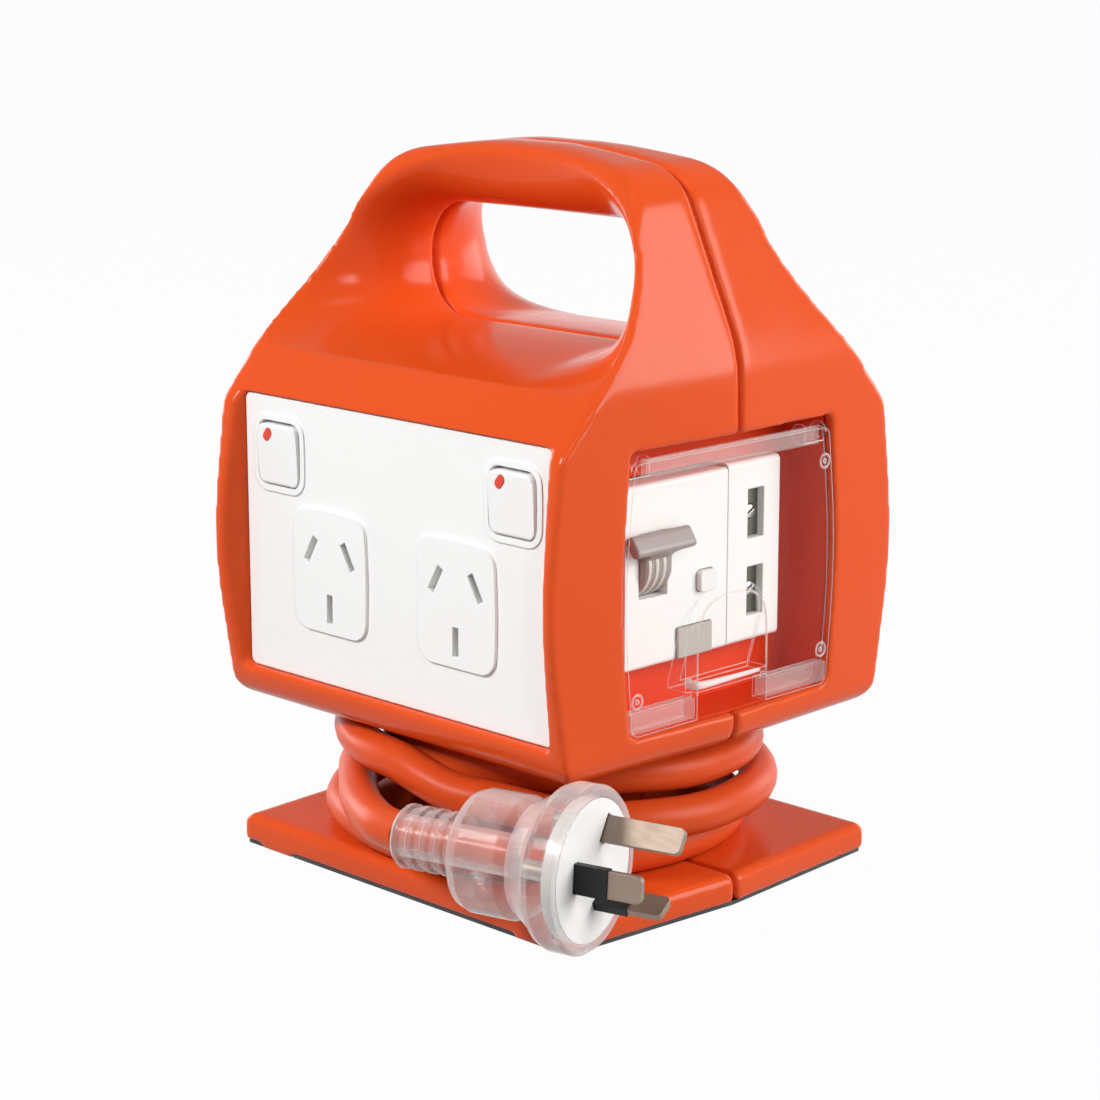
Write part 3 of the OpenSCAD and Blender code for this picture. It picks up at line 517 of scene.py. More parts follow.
ORANGE = MouldedPlastic("orange_case", (0.74, 0.082, 0.0125, 1.0), rough=0.18, drift=0.04, grain=0.002,
                        edge=0.6, wear=0.1, specular=0.17)
# Breaker pocket: a redder copy of the case orange, painted shade for the deep pocket behind the cover.
POCKET_PAINTED_SHADE = MouldedPlastic("orange_pocket_painted_shade", (0.74, 0.052, 0.01, 1.0), rough=0.3, drift=0.04, grain=0.002,
                        edge=0.5, wear=0.1, specular=0.1)
WHITE = MouldedPlastic("white_plate", linear(244, 244, 243), rough=0.3, drift=0.008, grain=0.002, edge=0.5,
                       wear=0.0, specular=0.35, scuffs=0.05)
BLOCK = MouldedPlastic("white_block", linear(214, 213, 208), rough=0.5, drift=0.02, edge=0.3)
BREAKER = MouldedPlastic("breaker_white", linear(246, 245, 242), rough=0.4, drift=0.02, edge=0.4, wear=0.0,
                         specular=0.35)
TOGGLE = MouldedPlastic("toggle_grey", linear(158, 146, 140), rough=0.36, drift=0.05, edge=0.3)
CLIP = MouldedPlastic("clip_grey", linear(186, 180, 170), rough=0.45, drift=0.04, edge=0.3)
BUTTON = MouldedPlastic("button_white", linear(242, 240, 236), rough=0.4, drift=0.03, edge=0.4)
MARK = MouldedPlastic("switch_mark", linear(226, 58, 34), rough=0.3, drift=0.03, edge=0.2)
SLEEVE = MouldedPlastic("pin_sleeve", linear(18, 18, 19), rough=0.42, drift=0.1, edge=0.2, specular=0.3)
BROWN = MouldedPlastic("wire_brown", linear(110, 66, 38), rough=0.4)
BLUE = MouldedPlastic("wire_blue", linear(44, 86, 158), rough=0.4)
GREEN = MouldedPlastic("wire_green", linear(128, 158, 38), rough=0.4)
# Pale ribs on the grey drum: painted highlight for the light streaks along the drum.
RIB_PAINTED_HIGHLIGHT = MouldedPlastic("drum_rib", linear(214, 207, 198), rough=0.36, drift=0.04, edge=0.2)
FACE = MouldedPlastic("plug_face", linear(240, 239, 237), rough=0.35, drift=0.02, edge=0.4, wear=0.0)
CORD = MouldedPlastic("cord_vinyl", (0.66, 0.076, 0.014, 1.0), rough=0.36, drift=0.06, grain=0.006, edge=0.2,
                      wear=0.0, specular=0.14)
CLEAR = ClearPlastic("clear_cover", PURE_WHITE, rough=0.02, haze=0.03, flow=0.004, edge=0.5, ior=1.3,
                     through=0.3, open_share=0.986, open_to_light=0.99, line=4.5, soft=False)
MILKY = ClearPlastic("milky_edge", (0.98, 0.95, 0.93, 1.0), rough=0.12, haze=0.1, flow=0.02, edge=0.4,
                     ior=1.25, through=0.4, open_share=0.76, open_to_light=0.94, line=2.4)
VEIL = ClearPlastic("cover_rail", (0.99, 0.96, 0.94, 1.0), rough=0.1, haze=0.1, flow=0.02, edge=0.4, ior=1.25,
                    through=0.35, open_share=0.8, open_to_light=0.95, line=1.6)
PLUG = ClearPlastic("milky_plug", (0.98, 0.96, 0.95, 1.0), rough=0.1, haze=0.16, flow=0.06, edge=0.8, ior=1.4,
                    through=0.4, open_share=0.9, open_to_light=0.95, rim=1.0)
# Lip of the shelf: clear plastic made near-opaque white, a painted highlight for the bright line along the
# shelf's edge.
LIP_PAINTED_HIGHLIGHT = ClearPlastic("shelf_edge_painted_highlight", (0.98, 0.96, 0.95, 1.0), rough=0.1, haze=0.08, flow=0.02, edge=0.4, ior=1.3,
                   through=0.3, open_share=0.3, open_to_light=0.9)
STEEL = PressedMetal("zinc_steel", linear(196, 196, 192), rough=0.3)
CLAMP = PressedMetal("clamp_metal", linear(104, 101, 86), rough=0.36)
BRASS = PressedMetal("brass", linear(206, 168, 96), rough=0.3)
NICKEL = PressedMetal("nickel_pin", linear(150, 134, 121), rough=0.56)
PAD = SoftRubber("base_rubber", linear(58, 58, 60))

NODE_FINISHES: list[tuple[Finish, list[str]]] = [
    (ORANGE, ["front_housing", "rear_housing"]),
    (POCKET_PAINTED_SHADE, ["breaker_pocket"]),
    (PAD, ["base_pad"]),
    (STEEL, ["housing_screws", "din_rail"]),
    (WHITE, ["front_faceplate", "rear_faceplate", "front_left_rocker", "front_right_rocker",
             "rear_left_rocker", "rear_right_rocker"]),
    (BLOCK, ["front_socket_block", "rear_socket_block"]),
    (BRASS, ["front_contacts", "rear_contacts"]),
    (CLAMP, ["terminal_clamps"]),
    (MARK, ["front_left_mark", "front_right_mark", "rear_left_mark", "rear_right_mark"]),
    (BROWN, ["active_link"]),
    (BLUE, ["neutral_link"]),
    (GREEN, ["earth_link"]),
    (BREAKER, ["breaker_body", "terminal_carrier"]),
    (TOGGLE, ["breaker_toggle"]),
    (CLIP, ["breaker_clip"]),
    (BUTTON, ["test_button"]),
    (CLEAR, ["window_cover"]),
    (CORD, ["cord_gland", "inner_lead", "cord_winding", "cord_tail", "plug_sheath"]),
    (PLUG, ["plug_body"]),
    (FACE, ["plug_insert"]),
    (NICKEL, ["plug_active_pin", "plug_neutral_pin", "plug_earth_pin", "plug_terminals"]),
    (SLEEVE, ["plug_pin_sleeves"]),
]


@dataclass(frozen=True)
class Lamp:
    """A soft lamp: its place, its width and height, all in metres, and its power in watts."""

    name: str
    place: Point
    size: tuple[float, float]
    power: float

    def hang(self, aim: Point) -> None:
        """Hangs the lamp.

        Args:
            aim: The point that it shines on, in metres.
        """
        data = bpy.data.lights.new(self.name, "AREA")
        data.shape = "RECTANGLE"
        data.size, data.size_y = self.size
        data.energy = self.power
        made = placed(self.name, data)
        made.location = self.place
        made.rotation_mode = "QUATERNION"
        made.rotation_quaternion = (Vector(aim) - Vector(self.place)).to_track_quat("-Z", "Y")


@dataclass
class Studio:
    """The camera, the pale floor and the soft lamps."""

    azimuth: float = 45.047
    elevation: float = 12.9
    distance: float = 0.73787
    target: Point = (-0.000518, -0.000502, 0.079154)
    lens: float = 94.95
    sensor: float = 36.0
    clip: tuple[float, float] = (0.01, 50.0)
    floor_half: float = 6.0
    floor_grey: float = 0.32
    floor_white: float = 0.975
    room_light: float = 0.14
    ceiling_from: float = 0.04
    ceiling_over: float = 0.22
    ceiling_dark: float = 0.7
    lamp_aim: Point = (0.0, 0.0, 0.09)
    lamps: tuple[Lamp, ...] = (
        Lamp("side", (0.9, 0.58, 0.45), (0.7, 0.7), 11.8),
        Lamp("front", (-0.3, -1.15, 0.9), (0.4, 0.3), 17.0),
        Lamp("top", (0.25, -0.2, 1.2), (0.3, 0.3), 0.6),
        Lamp("glint", (0.8, -0.4, 0.62), (0.14, 0.26), 1.6),
        Lamp("left", (-1.2, -0.1, 0.3), (0.6, 0.6), 5.0),
        Lamp("rear", (0.1, 1.2, 0.3), (0.6, 0.6), 2.5),
    )

    def camera(self) -> None:
        """Stands the camera where the photograph was taken from."""
        turn, rise = math.radians(self.azimuth), math.radians(self.elevation)
        level = math.cos(rise)
        back = Vector((math.sin(turn) * level, -math.cos(turn) * level, math.sin(rise)))
        data = bpy.data.cameras.new("camera")
        data.sensor_width = self.sensor
        data.lens = self.lens
        data.clip_start, data.clip_end = self.clip
        stand = placed("camera", data)
        stand.location = Vector(self.target) + back * self.distance
        stand.rotation_mode = "QUATERNION"
        stand.rotation_quaternion = (-back).to_track_quat("-Z", "Y")
        bpy.context.scene.camera = stand

    @staticmethod
    def seen_ray(graph: Graph) -> Sock:
        """Tells the rays that show the background: straight, reflected or through glass.

        Args:
            graph: The nodes that ask.

        Returns:
            1 for such a ray.
        """
        kinds = ("Camera", "Glossy", "Transmission")
        straight, mirrored, through = (graph.node("LightPath", {}, {}, f"Is {kind} Ray") for kind in kinds)
        return (straight + mirrored + through).clamped()

    def floor(self) -> None:
        """Lays a pale floor that keeps a faint shadow."""
        mesh = bpy.data.meshes.new("floor")
        half = self.floor_half
        corners = [(-half, -half, 0.0), (half, -half, 0.0), (half, half, 0.0), (-half, half, 0.0)]
        mesh.from_pydata(corners, [], [(0, 1, 2, 3)])
        plane = placed("floor", mesh)
        material = bpy.data.materials.new("floor_white")
        material.use_nodes = True
        graph = Graph(material.node_tree)
        grey = self.floor_grey
        matt = graph.node("BsdfDiffuse", {}, {"Color": (grey, grey, grey, 1.0)})
        white = graph.node("Emission", {}, {"Color": PURE_WHITE, "Strength": 1.0})
        shown = self.seen_ray(graph) * self.floor_white
        graph.surface(graph.node("MixShader", {}, {0: shown, 1: matt, 2: white}))
        mesh.materials.append(material)

    def world(self) -> None:
        """Makes a world that is white where it is seen, with a ceiling that mirrors darker."""
        world = bpy.data.worlds.new("studio")
        world.use_nodes = True
        bpy.context.scene.world = world
        graph = Graph(world.node_tree)
        way = graph.node("TexCoord", {}, {}, "Generated")
        rise = graph.node("SeparateXYZ", {}, {"Vector": way}, "Z")
        ceiling = ((rise - self.ceiling_from) / self.ceiling_over).clamped()
        mirrored = graph.node("LightPath", {}, {}, "Is Glossy Ray")
        seen = self.seen_ray(graph) - mirrored * ceiling * self.ceiling_dark
        level = self.room_light + seen * (1.0 - self.room_light)
        sky = graph.node("Background", {}, {"Color": PURE_WHITE, "Strength": level})
        graph.node("OutputWorld", {}, {"Surface": sky})

    def build(self) -> None:
        """Lays the floor, sets the world round it and hangs the lamps."""
        bpy.context.scene.view_settings.view_transform = "Standard"
        self.floor()
        self.world()
        for lamp in self.lamps:
            lamp.hang(self.lamp_aim)


def bead(name: str, path: list[tuple[Point, float]], finish: Finish, body: Body,
         slot: Slot) -> bpy.types.Object:
    """Makes a round bead along points.

    Args:
        name: Its name.
        path: The points and the bead's radius at each, in millimetres.
        finish: Its finish.
        body: The body that carries it.
        slot: Not used.

    Returns:
        The bead.
    """
    data = bpy.data.curves.new(name, "CURVE")
    data.dimensions = "3D"
    data.bevel_depth = MM
    data.bevel_resolution = 4
    data.use_fill_caps = True
    spline = data.splines.new("NURBS")
    spline.points.add(len(path) - 1)
    for knot, (place, radius) in zip(spline.points, path):
        knot.co = (*(Vector(place) * MM), 1.0)
        knot.radius = radius
    spline.use_endpoint_u = True
    spline.order_u = 3
    made = placed(name, data)
    finish.dress(made)
    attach(made, body.value)
    return made


@dataclass
class CordSet:
    """The cord wound round the neck under the case, one length from the gland to the plug."""

    radius: float = 5.0
    low: float = 13.3
    step: float = 10.5
    lead: float = 10.0
    route: tuple[Point, ...] = (
        (184, 38, 2), (230, 38.8, 2), (260, 40.5, 2), (290, 42.8, 2), (330, 46.6, 1.93), (365, 48.1, 1.78),
        (405, 49.4, 1.7), (450, 50.6, 1.82), (495, 51.6, 2), (520, 53.6, 2), (550, 53, 2), (585, 51.2, 2),
        (625, 51.8, 1.99), (655, 53.6, 1.5), (690, 54, 0.98), (725, 53.5, 0.83), (765, 53, 0.74),
        (830, 54.5, 0.6), (900, 55.8, 0.1), (940, 54.2, 0), (970, 51.4, 0), (1035, 49, 0), (1080, 46.5, 0),
        (1125, 45.2, 0), (1200, 43.6, 0), (1260, 45, 0.4), (1290, 48, 0.8), (1305, 50, 0.97))
    tail: tuple[Point, ...] = (
        (-30, -40.5, 23.6), (-22, -47.5, 23.8), (-13.5, -54.6, 24), (-5, -60.8, 24.2), (4, -66, 24.6),
        (12, -69.5, 24.9), (21.647, -70.856, 25))
    round_steps: int = 7
    turn_points: int = 120
    tail_steps: int = 6
    sleeve_length: float = 24.0
    sleeve_ends: tuple[float, float] = (6.2, 5.3)
    sleeve_ribs: int = 6
    rib_steps: int = 4
    rib_depth: float = 0.3

    def _slope(self, row: int) -> float:
        """Works out how fast the radius changes along the route.

        Args:
            row: Row of the route.

        Returns:
            Millimetres to a degree.
        """
        if row in (0, len(self.route) - 1):
            return 0.0
        before, after = self.route[row - 1], self.route[row + 1]
        return (after[1] - before[1]) / (after[0] - before[0])

    def _wound(self, angle: float) -> Vector:
        """Finds the cord's middle on its way round the neck.

        Args:
            angle: How far round, in degrees.

        Returns:
            The point, in millimetres.
        """
        row = 0
        while row < len(self.route) - 2 and angle > self.route[row + 1][0]:
            row += 1
        here, there = self.route[row], self.route[row + 1]
        span = there[0] - here[0]
        share = (angle - here[0]) / span
        eased = share * share * (3 - 2 * share)
        leaving, arriving = self._slope(row), self._slope(row + 1)
        bend = leaving * share * (1 - share) ** 2 - arriving * share * share * (1 - share)
        radius = here[1] + (there[1] - here[1]) * eased + span * bend
        level = here[2] + (there[2] - here[2]) * eased
        turn = math.radians(angle)
        return Vector((radius * math.cos(turn), radius * math.sin(turn), self.low + self.step * level))

    def middle(self) -> list[Vector]:
        """Draws the whole cord's middle line.

        Returns:
            Its points, in millimetres.
        """
        first, last = self.route[0][0], self.route[-1][0]
        count = round((last - first) / 360 * self.turn_points)
        wound = [self._wound(first + (last - first) * i / count) for i in range(count + 1)]
        start = wound[0] + Vector((0.0, self.lead, 0.0))
        ends = [wound[-4], wound[-1]] + [Vector(point) for point in self.tail]
        ends.append(ends[-1] * 2 - ends[-2])
        path = [start, start.lerp(wound[0], 0.5)] + wound
        for i in range(1, len(ends) - 2):
            for k in range(1, self.tail_steps + 1):
                path.append(self._between(ends[i - 1:i + 3], k / self.tail_steps))
        return path

    @staticmethod
    def _between(points: list[Vector], share: float) -> Vector:
        """Finds a point on the smooth curve between the middle two of four points.

        Args:
            points: The four points.
            share: How far on, from 0 to 1.

        Returns:
            The point.
        """
        a, b, c, d = points
        pull_b = (c - a) * ((c - b).length / ((c - b).length + (b - a).length))
        pull_c = (d - b) * ((c - b).length / ((c - b).length + (d - c).length))
        s, s2, s3 = share, share ** 2, share ** 3
        return (b * (2 * s3 - 3 * s2 + 1) + pull_b * (s3 - 2 * s2 + s)
                + c * (3 * s2 - 2 * s3) + pull_c * (s3 - s2))

    def sleeve(self, path: list[Vector]) -> bpy.types.Object:
        """Makes the tapered, ribbed sleeve that guards the cord where it leaves the neck.

        Args:
            path: The cord's middle line, in millimetres.

        Returns:
            The sleeve.
        """
        runs = np.cumsum([0.0] + [(after - before).length for before, after in zip(path, path[1:])])
        stations = np.linspace(0.0, self.sleeve_length, self.rib_steps * self.sleeve_ribs + 1)
        line = np.array([tuple(point) for point in path])
        points = []
        for count, station in enumerate(stations):
            place = tuple(float(np.interp(station, runs, line[:, axis])) for axis in range(3))
            radius = float(np.interp(station, (0.0, self.sleeve_length), self.sleeve_ends))
            points.append((place, radius - self.rib_depth * (count % self.rib_steps > 1)))
        return bead("cord_sleeve", points, CORD, Body.CASE, Slot.CORD)

    def build(self) -> list[bpy.types.Object]:
        """Returns:
            The cord and its sleeve.
        """
        middle = self.middle()
        path = [point * MM for point in middle]
        data = bpy.data.curves.new("mains_cord", "CURVE")
        data.dimensions = "3D"
        data.bevel_depth = self.radius * MM
        data.bevel_resolution = self.round_steps
        data.use_fill_caps = True
        spline = data.splines.new("POLY")
        spline.points.add(len(path) - 1)
        for knot, point in zip(spline.points, path):
            knot.co = (*point, 1.0)
        spline.use_smooth = True
        made = placed("mains_cord", data)
        CORD.dress(made)
        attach(made, Body.CASE.value)
        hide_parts("cord_winding", "cord_tail")
        length = sum((after - before).length for before, after in zip(path, path[1:]))
        2 * self.radius * MM
        return [made, self.sleeve(middle)]


def worked_out(piece: bpy.types.Object) -> bpy.types.Mesh:
    """The mesh that a piece's modifiers give.

    Args:
        piece: The piece.

    Returns:
        A new mesh.
    """
    view = bpy.context.evaluated_depsgraph_get()
    view.update()
    return bpy.data.meshes.new_from_object(piece.evaluated_get(view))


@dataclass
class SoftMould:
    """A moulded part with the soft edges that its mould gives it, worked from the part's own solid."""

    node: str
    name: str
    body: Body
    slot: Slot
    finish: Finish
    voxel: float = 0.7
    passes: int = 12
    share: float = 0.16
    fair_pairs: int = 0
    fair_from: float = 0.08
    fair_in: float = 0.5
    fair_out: float = -0.52
    draw: float = 0.5
    flat_seam: float = 0.6
    weld_within: float = 2e-6

    def softness(self, place: np.ndarray) -> np.ndarray:
        """How far each point is rounded, from 0 to 1.

        Args:
            place: The points, in metres.

        Returns:
            A number for each.
        """
        return np.ones(len(place))

    def carve(self, place: np.ndarray, normal: np.ndarray) -> np.ndarray:
        """Cuts what is too fine for the rounding.

        Args:
            place: The rounded points, in metres.
            normal: The way each faces.

        Returns:
            The points.
        """
        return place

    def _rounded(self, mesh: bpy.types.Mesh) -> None:
        """Draws each point of a fine mesh towards its neighbours, over and over.

        Args:
            mesh: The mesh.
        """
        count = len(mesh.vertices)
        flat = np.empty(count * 3)
        mesh.vertices.foreach_get("co", flat)
        place = flat.reshape(count, 3)
        pairs = np.empty(len(mesh.edges) * 2, int)
        mesh.edges.foreach_get("vertices", pairs)
        here = np.concatenate([pairs[0::2], pairs[1::2]])
        there = np.concatenate([pairs[1::2], pairs[0::2]])
        ways = np.bincount(here, minlength=count)[:, None]
        soft = self.softness(place)[:, None] * np.ones((1, 3))
        soft[np.abs(place[:, 1]) < self.flat_seam * MM, 1] = 0.0
        fair = np.where(soft > self.fair_from, 1.0, 0.0)
        fairing = [self.fair_in * fair, self.fair_out * fair] * self.fair_pairs
        for pull in fairing + [self.draw * soft] * self.passes:
            sums = [np.bincount(here, weights=place[there, axis], minlength=count) for axis in range(3)]
            place = place + (np.stack(sums, 1) / ways - place) * pull
        mesh.vertices.foreach_set("co", place.ravel())
        mesh.update()
        facing = np.empty(count * 3)
        mesh.vertex_normals.foreach_get("vector", facing)
        mesh.vertices.foreach_set("co", self.carve(place, facing.reshape(count, 3)).ravel())
        mesh.update()

    def build(self) -> bpy.types.Object:
        """Makes the part and lets it stand for its solid.

        Returns:
            The part.
        """
        made = placed(self.name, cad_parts[self.node].data.copy())
        weld = made.modifiers.new("weld", "WELD")
        weld.merge_threshold = self.weld_within
        fine = made.modifiers.new("fine", "REMESH")
        fine.mode = "VOXEL"
        fine.voxel_size = self.voxel * MM
        dense = worked_out(made)
        made.modifiers.clear()
        made.data = dense
        self._rounded(dense)
        thin = made.modifiers.new("thin", "DECIMATE")
        thin.ratio = self.share
        made.data = worked_out(made)
        made.modifiers.clear()
        made.data.name = self.name
        made.data.materials.clear()
        made.data.polygons.foreach_set("use_smooth", [True] * len(made.data.polygons))
        made.modifiers.new("even", "WEIGHTED_NORMAL")
        self.finish.dress(made)
        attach(made, self.body.value)
        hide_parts(self.node)
        return made


@dataclass
class CaseHalf(SoftMould):
    """One moulded half of the case: full, soft edges at the handle, crisp ones at the window and the base."""

    passes: int = 36
    share: float = 0.3
    fair_pairs: int = 24
    low_soft: float = 0.2
    crisp: float = 0.06
    soft_from: float = 122.0
    soft_over: float = 46.0
    base_top: float = 12.0
    window_from: float = 50.0
    window_margin: float = 3.0
    window_head: float = 6.0
    seam: float = 3.0
    seam_least: float = 0.1
    groove_half: float = 0.8
    groove_depth: float = 0.75
    side_least: float = 0.3

    def softness(self, place: np.ndarray) -> np.ndarray:
        """How far each point is rounded, from 0 to 1.

        Args:
            place: The points, in metres.

        Returns:
            A number for each.
        """
        x, y, z = (place / MM).T
        soft = self.low_soft + (1 - self.low_soft) * np.clip((z - self.soft_from) / self.soft_over, 0, 1)
        low, high = (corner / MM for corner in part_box("window_cover"))
        margin = self.window_margin
        beside = (x > self.window_from) & (y > low.y - margin) & (y < high.y + margin)
        window = beside & (z > low.z - margin) & (z < high.z + self.window_head)
        soft = np.where(window | (z < self.base_top), self.crisp, soft)
        return soft * np.clip(np.abs(y) / self.seam, self.seam_least, 1)

    def carve(self, place: np.ndarray, normal: np.ndarray) -> np.ndarray:
        """Cuts this half's side of the groove where the halves meet.

        Args:
            place: The rounded points, in metres.
            normal: The way each faces.

        Returns:
            The points.
        """
        out = normal * (1.0, 0.0, 1.0)
        size = np.linalg.norm(out, axis=1, keepdims=True)
        out = np.where(size > self.side_least, out / np.maximum(size, self.side_least), 0.0)
        near = np.clip(1 - np.abs(place[:, 1:2]) / (self.groove_half * MM), 0, 1)
        return place - out * near * self.groove_depth * MM


class Piece:
    """The mesh of one small piece while it is made, in millimetres."""

    SHARP_FROM: float = 35.0
    KNEE: float = 0.3
    LEAST_SPOKE: float = 0.01

    def __init__(self) -> None:
        """Starts with no faces."""
        self.shape = bmesh.new()

    def turned(self, profile: list[tuple[float, float]], centre: Point, axis: Point, sides: int = 32) -> None:
        """Adds a closed ring or knob turned about an axis.

        Args:
            profile: Points of radius and height, round the section.
            centre: Where the height is 0.
            axis: The way that height grows.
            sides: Steps round.
        """
        turn = Vector(axis).to_track_quat("Z", "Y").to_matrix()
        rings = []
        for radius, height in profile:
            if radius == 0:
                rings.append([self.shape.verts.new(Vector(centre) + turn @ Vector((0, 0, height)))] * sides)
                continue
            angles = [2 * math.pi * i / sides for i in range(sides)]
            spots = [Vector((radius * math.cos(a), radius * math.sin(a), height)) for a in angles]
            rings.append([self.shape.verts.new(Vector(centre) + turn @ spot) for spot in spots])
        closed = all(radius > 0 for radius, _ in profile)
        for k in range(len(rings) if closed else len(rings) - 1):
            one, two = rings[k], rings[(k + 1) % len(rings)]
            for i in range(sides):
                j = (i + 1) % sides
                corners = list(dict.fromkeys([one[i], one[j], two[j], two[i]]))
                self.shape.faces.new(corners)

    def prism(self, outline: list[tuple[float, float]], height: float, centre: Point, axis: Point,
              round_by: float) -> None:
        """Adds a slab with its upper edges rounded.

        Args:
            outline: Its corners, anticlockwise.
            height: How far it stands up.
            centre: Where the outline's middle stands.
            axis: The way that it stands up.
            round_by: Rounding of its upper edges.
        """
        turn = Vector(axis).to_track_quat("Z", "Y").to_matrix()
        knee = self.KNEE * round_by
        levels = [(0.0, 0.0), (height - round_by, 0.0), (height - knee, knee), (height, round_by)]
        middle = Vector((sum(x for x, _ in outline), sum(y for _, y in outline), 0)) / len(outline)
        sections = []
        for level, inward in levels:
            section = []
            for x, y in outline:
                spoke = Vector((x, y, 0)) - middle
                left = max(0.0, 1 - inward / max(spoke.length, self.LEAST_SPOKE))
                point = middle + spoke * left + Vector((0, 0, level))
                section.append(Vector(centre) + turn @ point)
            sections.append(section)
        self.strip(sections)

    def strip(self, sections: list[list[Vector]]) -> None:
        """Adds a closed bar through sections of equal count.

        Args:
            sections: The corners of each section, in order.
        """
        rings = [[self.shape.verts.new(point) for point in section] for section in sections]
        for one, two in zip(rings, rings[1:]):
            for i in range(len(one)):
                j = (i + 1) % len(one)
                self.shape.faces.new((one[i], one[j], two[j], two[i]))
        self.shape.faces.new(rings[0])
        self.shape.faces.new(rings[-1])

    def finish(self, name: str, finish: Finish, body: Body, slot: Slot) -> bpy.types.Object:
        """Ends the piece and lets it ride.

        Args:
            name: Its name.
            finish: Its finish.
            body: The body that carries it.
            slot: Not used.

        Returns:
            The piece.
        """
        bmesh.ops.recalc_face_normals(self.shape, faces=self.shape.faces)
        bmesh.ops.scale(self.shape, vec=(MM, MM, MM), verts=self.shape.verts)
        mesh = bpy.data.meshes.new(name)
        self.shape.to_mesh(mesh)
        self.shape.free()
        mesh.shade_smooth()
        mesh.set_sharp_from_angle(angle=math.radians(self.SHARP_FROM))
        made = placed(name, mesh)
        finish.dress(made)
        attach(made, body.value)
        return made


@dataclass
class CoverMarks:
    """The ejector rings moulded on the clear cover, each with a stud in its middle."""

    places: tuple[tuple[float, float], ...] = ((33.2, 106.2), (33.0, 58.4), (-33.4, 58.0))
    ring: float = 1.7
    bar: float = 0.5
    proud: float = 0.3
    sunk: float = 0.1
    shoulder: float = 0.6
    crest: float = 0.4
    stud: tuple[float, float, float] = (0.3, 0.4, 0.8)
    stud_sides: int = 20

    def build(self) -> bpy.types.Object:
        """Makes the rings.

        Returns:
            The rings, as one piece.
        """
        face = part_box("window_cover")[1].x / MM
        half, sunk, proud = self.bar / 2, -self.sunk, self.proud
        crest, shoulder = half * self.crest, proud * self.shoulder
        upper, lower, peak = self.stud
        ring = [(self.ring - half, sunk), (self.ring + half, sunk), (self.ring + half, shoulder),
                (self.ring + crest, proud), (self.ring - crest, proud), (self.ring - half, shoulder)]
        stud = [(0, proud * peak), (self.ring * upper, shoulder), (self.ring * lower, sunk), (0, sunk)]
        piece = Piece()
        for y, z in self.places:
            piece.turned(ring, (face, y, z), (1, 0, 0))
            piece.turned(stud, (face, y, z), (1, 0, 0), self.stud_sides)
        return piece.finish("cover_rings", CLEAR, Body.COVER, Slot.CLEAR)


@dataclass
class CoverEdges:
    """The thick, milky edges of the clear cover: hem, top rail, lip of the shelf, bead round the recess; the
    lip's white is a painted highlight.
    """

    recess: float = 12.5
    depth: float = 5.6
    shelf: float = 57.2
    top: float = 79.0
    bead: float = 0.28
    bead_in: float = 0.1
    hem_gap: float = 0.6
    hem_inset: Point = (2.2, 2.7, 3.0)
    hem_thick: float = 1.9
    hem_tall: float = 2.6
    rail_inset: Point = (1.0, 7.0, 2.6)
    rail_thick: float = 0.8
    rail_tall: float = 2.2
    corner: float = 0.2

    def build(self) -> list[bpy.types.Object]:
        """Makes the edges.

        Returns:
            The hem, the rail, the lip and the bead.
        """
        low, high = (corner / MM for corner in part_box("window_cover"))
        hem, rail = Piece(), Piece()
        back, beside, up = self.hem_inset
        near, far = self.recess + self.hem_gap, high.y - beside
        half = (self.hem_thick, (far - near) / 2, self.hem_tall)
        for side in (-1, 1):
            self._bar(hem, (high.x - back, side * (near + far) / 2, low.z + up), half)
        back, beside, down = self.rail_inset
        half = (self.rail_thick, high.y - beside, self.rail_tall)
        self._bar(rail, (high.x - back, 0.0, high.z - down), half)
        return [hem.finish("cover_hem", MILKY, Body.COVER, Slot.CLEAR),
                rail.finish("cover_rail", VEIL, Body.COVER, Slot.CLEAR),
                self._lip(high.x), self._rim(high.x, low.z)]

    def _bar(self, piece: Piece, middle: Point, half: Point) -> None:
        """Adds one bar along the cover, with cut corners.

        Args:
            piece: What it is added to.
            middle: Its middle.
            half: Half its thickness, length and height.
        """
        x, y, z = middle
        thick, reach, tall = half
        cut = min(thick, tall) * self.corner
        outline = [(-thick + cut, -tall), (thick - cut, -tall), (thick, -tall + cut), (thick, tall - cut),
                   (thick - cut, tall), (-thick + cut, tall), (-thick, tall - cut), (-thick, -tall + cut)]
        ends = (y - reach, y + reach)
        piece.strip([[Vector((x + across, end, z + up)) for across, up in outline] for end in ends])

    def _lip(self, face: float) -> bpy.types.Object:
        """Makes the rounded lip of the shelf, thicker at the near corner, in a near-opaque white that is a
        painted highlight.

        Args:
            face: Where the cover's outer face is.

        Returns:
            The lip.
        """
        path = [(-self.depth, -9.5, 1.0), (1.2 - self.depth, -11.2, 1.1), (-2.6, -11.4, 1.1),
                (-1.3, -10.0, 1.0), (-1.1, -6.0, 0.85), (-1.1, 0.0, 0.7), (-1.1, 6.0, 0.6), (-1.2, 11.0, 0.5)]
        points = [((face + x, y, self.shelf), radius) for x, y, radius in path]
        return bead("shelf_lip", points, LIP_PAINTED_HIGHLIGHT, Body.COVER, Slot.CLEAR)

    def _rim(self, face: float, low: float) -> bpy.types.Object:
        """Makes the fine bead round the finger recess.

        Args:
            face: Where the cover's outer face is.
            low: Where the cover's lower edge is.

        Returns:
            The bead.
        """
        side, top = self.recess, self.top
        right = [(side - 4.5, top - 1.2), (side - 0.6, top - 6.0), (side, top - 12.0), (side, low + 6.0)]
        path = [(-y, z) for y, z in right[::-1]] + [(0.0, top)] + right
        points = [((face - self.bead_in, y, z), self.bead) for y, z in path]
        return bead("recess_rim", points, MILKY, Body.COVER, Slot.CLEAR)


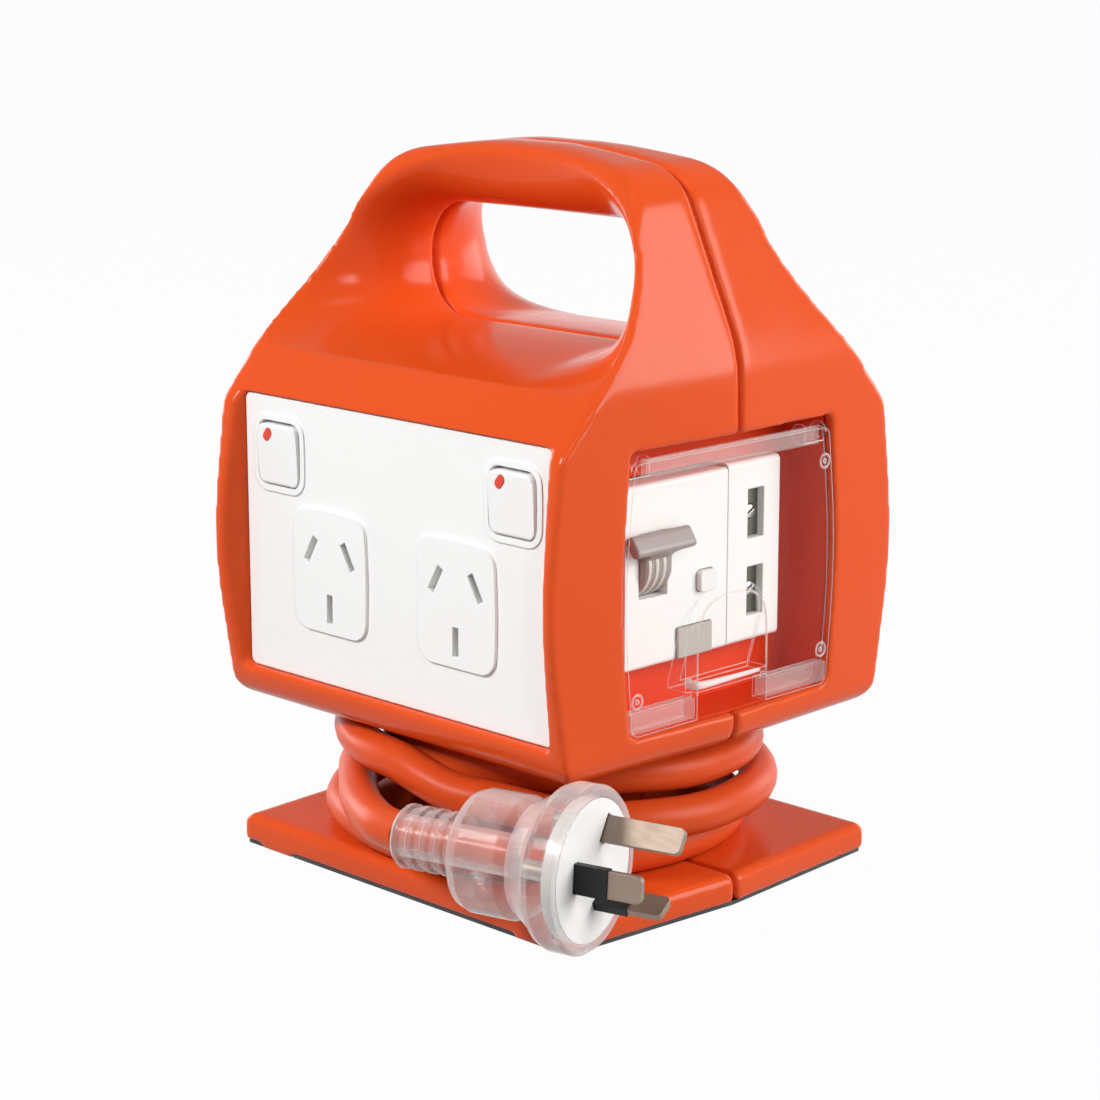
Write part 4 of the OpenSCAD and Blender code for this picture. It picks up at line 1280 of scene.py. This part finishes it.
@dataclass
class DrumRibs:
    """The raised ribs round the drum that the breaker's lever stands on; their pale colour is a painted
    highlight.
    """

    radius: float = 8.2
    proud: float = 0.2
    off_middle: float = 0.6
    half: float = 0.55
    places: tuple[float, ...] = (-3.4, -0.9, 1.6)
    sunk: float = 0.6
    chamfer: float = 0.1
    flat: float = 0.6
    sides: int = 72

    def build(self) -> bpy.types.Object:
        """Makes the ribs, turned about the drum's axle.

        Returns:
            The ribs, as one piece.
        """
        low, high = (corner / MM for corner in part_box("breaker_toggle"))
        middle = (low.y + high.y) / 2 + self.off_middle
        inner, outer = self.radius - self.sunk, self.radius + self.proud
        half, flat, bevel = self.half, self.flat * self.half, outer - self.chamfer
        section = [(inner, -half), (bevel, -half), (outer, -flat),
                   (outer, flat), (bevel, half), (inner, half)]
        piece = Piece()
        for place in self.places:
            axle = (low.x + self.radius, middle + place, low.z + self.radius)
            piece.turned(section, axle, (0, 1, 0), self.sides)
        return piece.finish("drum_ribs", RIB_PAINTED_HIGHLIGHT, Body.TOGGLE, Slot.TOGGLE)


@dataclass
class ClampScrews:
    """The slotted screws in the breaker's two terminals."""

    radius: float = 1.75
    gap: float = 0.5
    height: float = 1.7
    sunk: float = 1.5
    rounding: float = 0.25
    steps: int = 14
    tilt: float = 30.0
    clamp_tall: float = 12.1

    def build(self) -> bpy.types.Object:
        """Makes both screws, each as two half heads with the slot between them.

        Returns:
            The screws, as one piece.
        """
        low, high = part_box("terminal_clamps")
        middle_y = (low.y + high.y) / 2 / MM
        half = self.clamp_tall / 2
        piece = Piece()
        for middle_z in (low.z / MM + half, high.z / MM - half):
            foot = (high.x / MM - self.sunk, middle_y, middle_z)
            for side in (-1, 1):
                piece.prism(self._half(side), self.height, foot, (1, 0, 0), self.rounding)
        return piece.finish("clamp_screws", STEEL, Body.CASE, Slot.METAL)

    def _half(self, side: int) -> list[tuple[float, float]]:
        """Draws one half of a slotted head, turned by its tilt.

        Args:
            side: 1 or -1.

        Returns:
            Its outline.
        """
        start = math.asin(self.gap / 2 / self.radius)
        angles = [start + (math.pi - 2 * start) * i / self.steps for i in range(self.steps + 1)]
        tilt = math.radians(self.tilt) + (math.pi if side < 0 else 0.0)
        return [(self.radius * math.cos(a + tilt), self.radius * math.sin(a + tilt)) for a in angles]


def dress_nodes() -> None:
    """Gives every CAD node its finish."""
    for finish, names in NODE_FINISHES:
        for name in names:
            finish.dress(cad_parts[name])


def main() -> None:
    """Builds the scene, the camera and the cord first."""
    logging.basicConfig(level=logging.INFO, format="%(message)s")
    studio = Studio()
    studio.camera()
    made = CordSet().build()
    dress_nodes()
    made.append(CaseHalf("front_housing", "front_shell", Body.CASE, Slot.HOUSING, ORANGE).build())
    made.append(CaseHalf("rear_housing", "rear_shell", Body.CASE, Slot.HOUSING, ORANGE).build())
    made.append(SoftMould("breaker_toggle", "toggle_lever", Body.TOGGLE, Slot.TOGGLE, TOGGLE,
                          voxel=0.35, passes=10, share=0.3).build())
    made.append(DrumRibs().build())
    made.append(CoverMarks().build())
    made.extend(CoverEdges().build())
    made.append(ClampScrews().build())
    studio.build()
    for piece in made:
        log.info("made %s", piece.name)


if __name__ == "__main__":
    main()
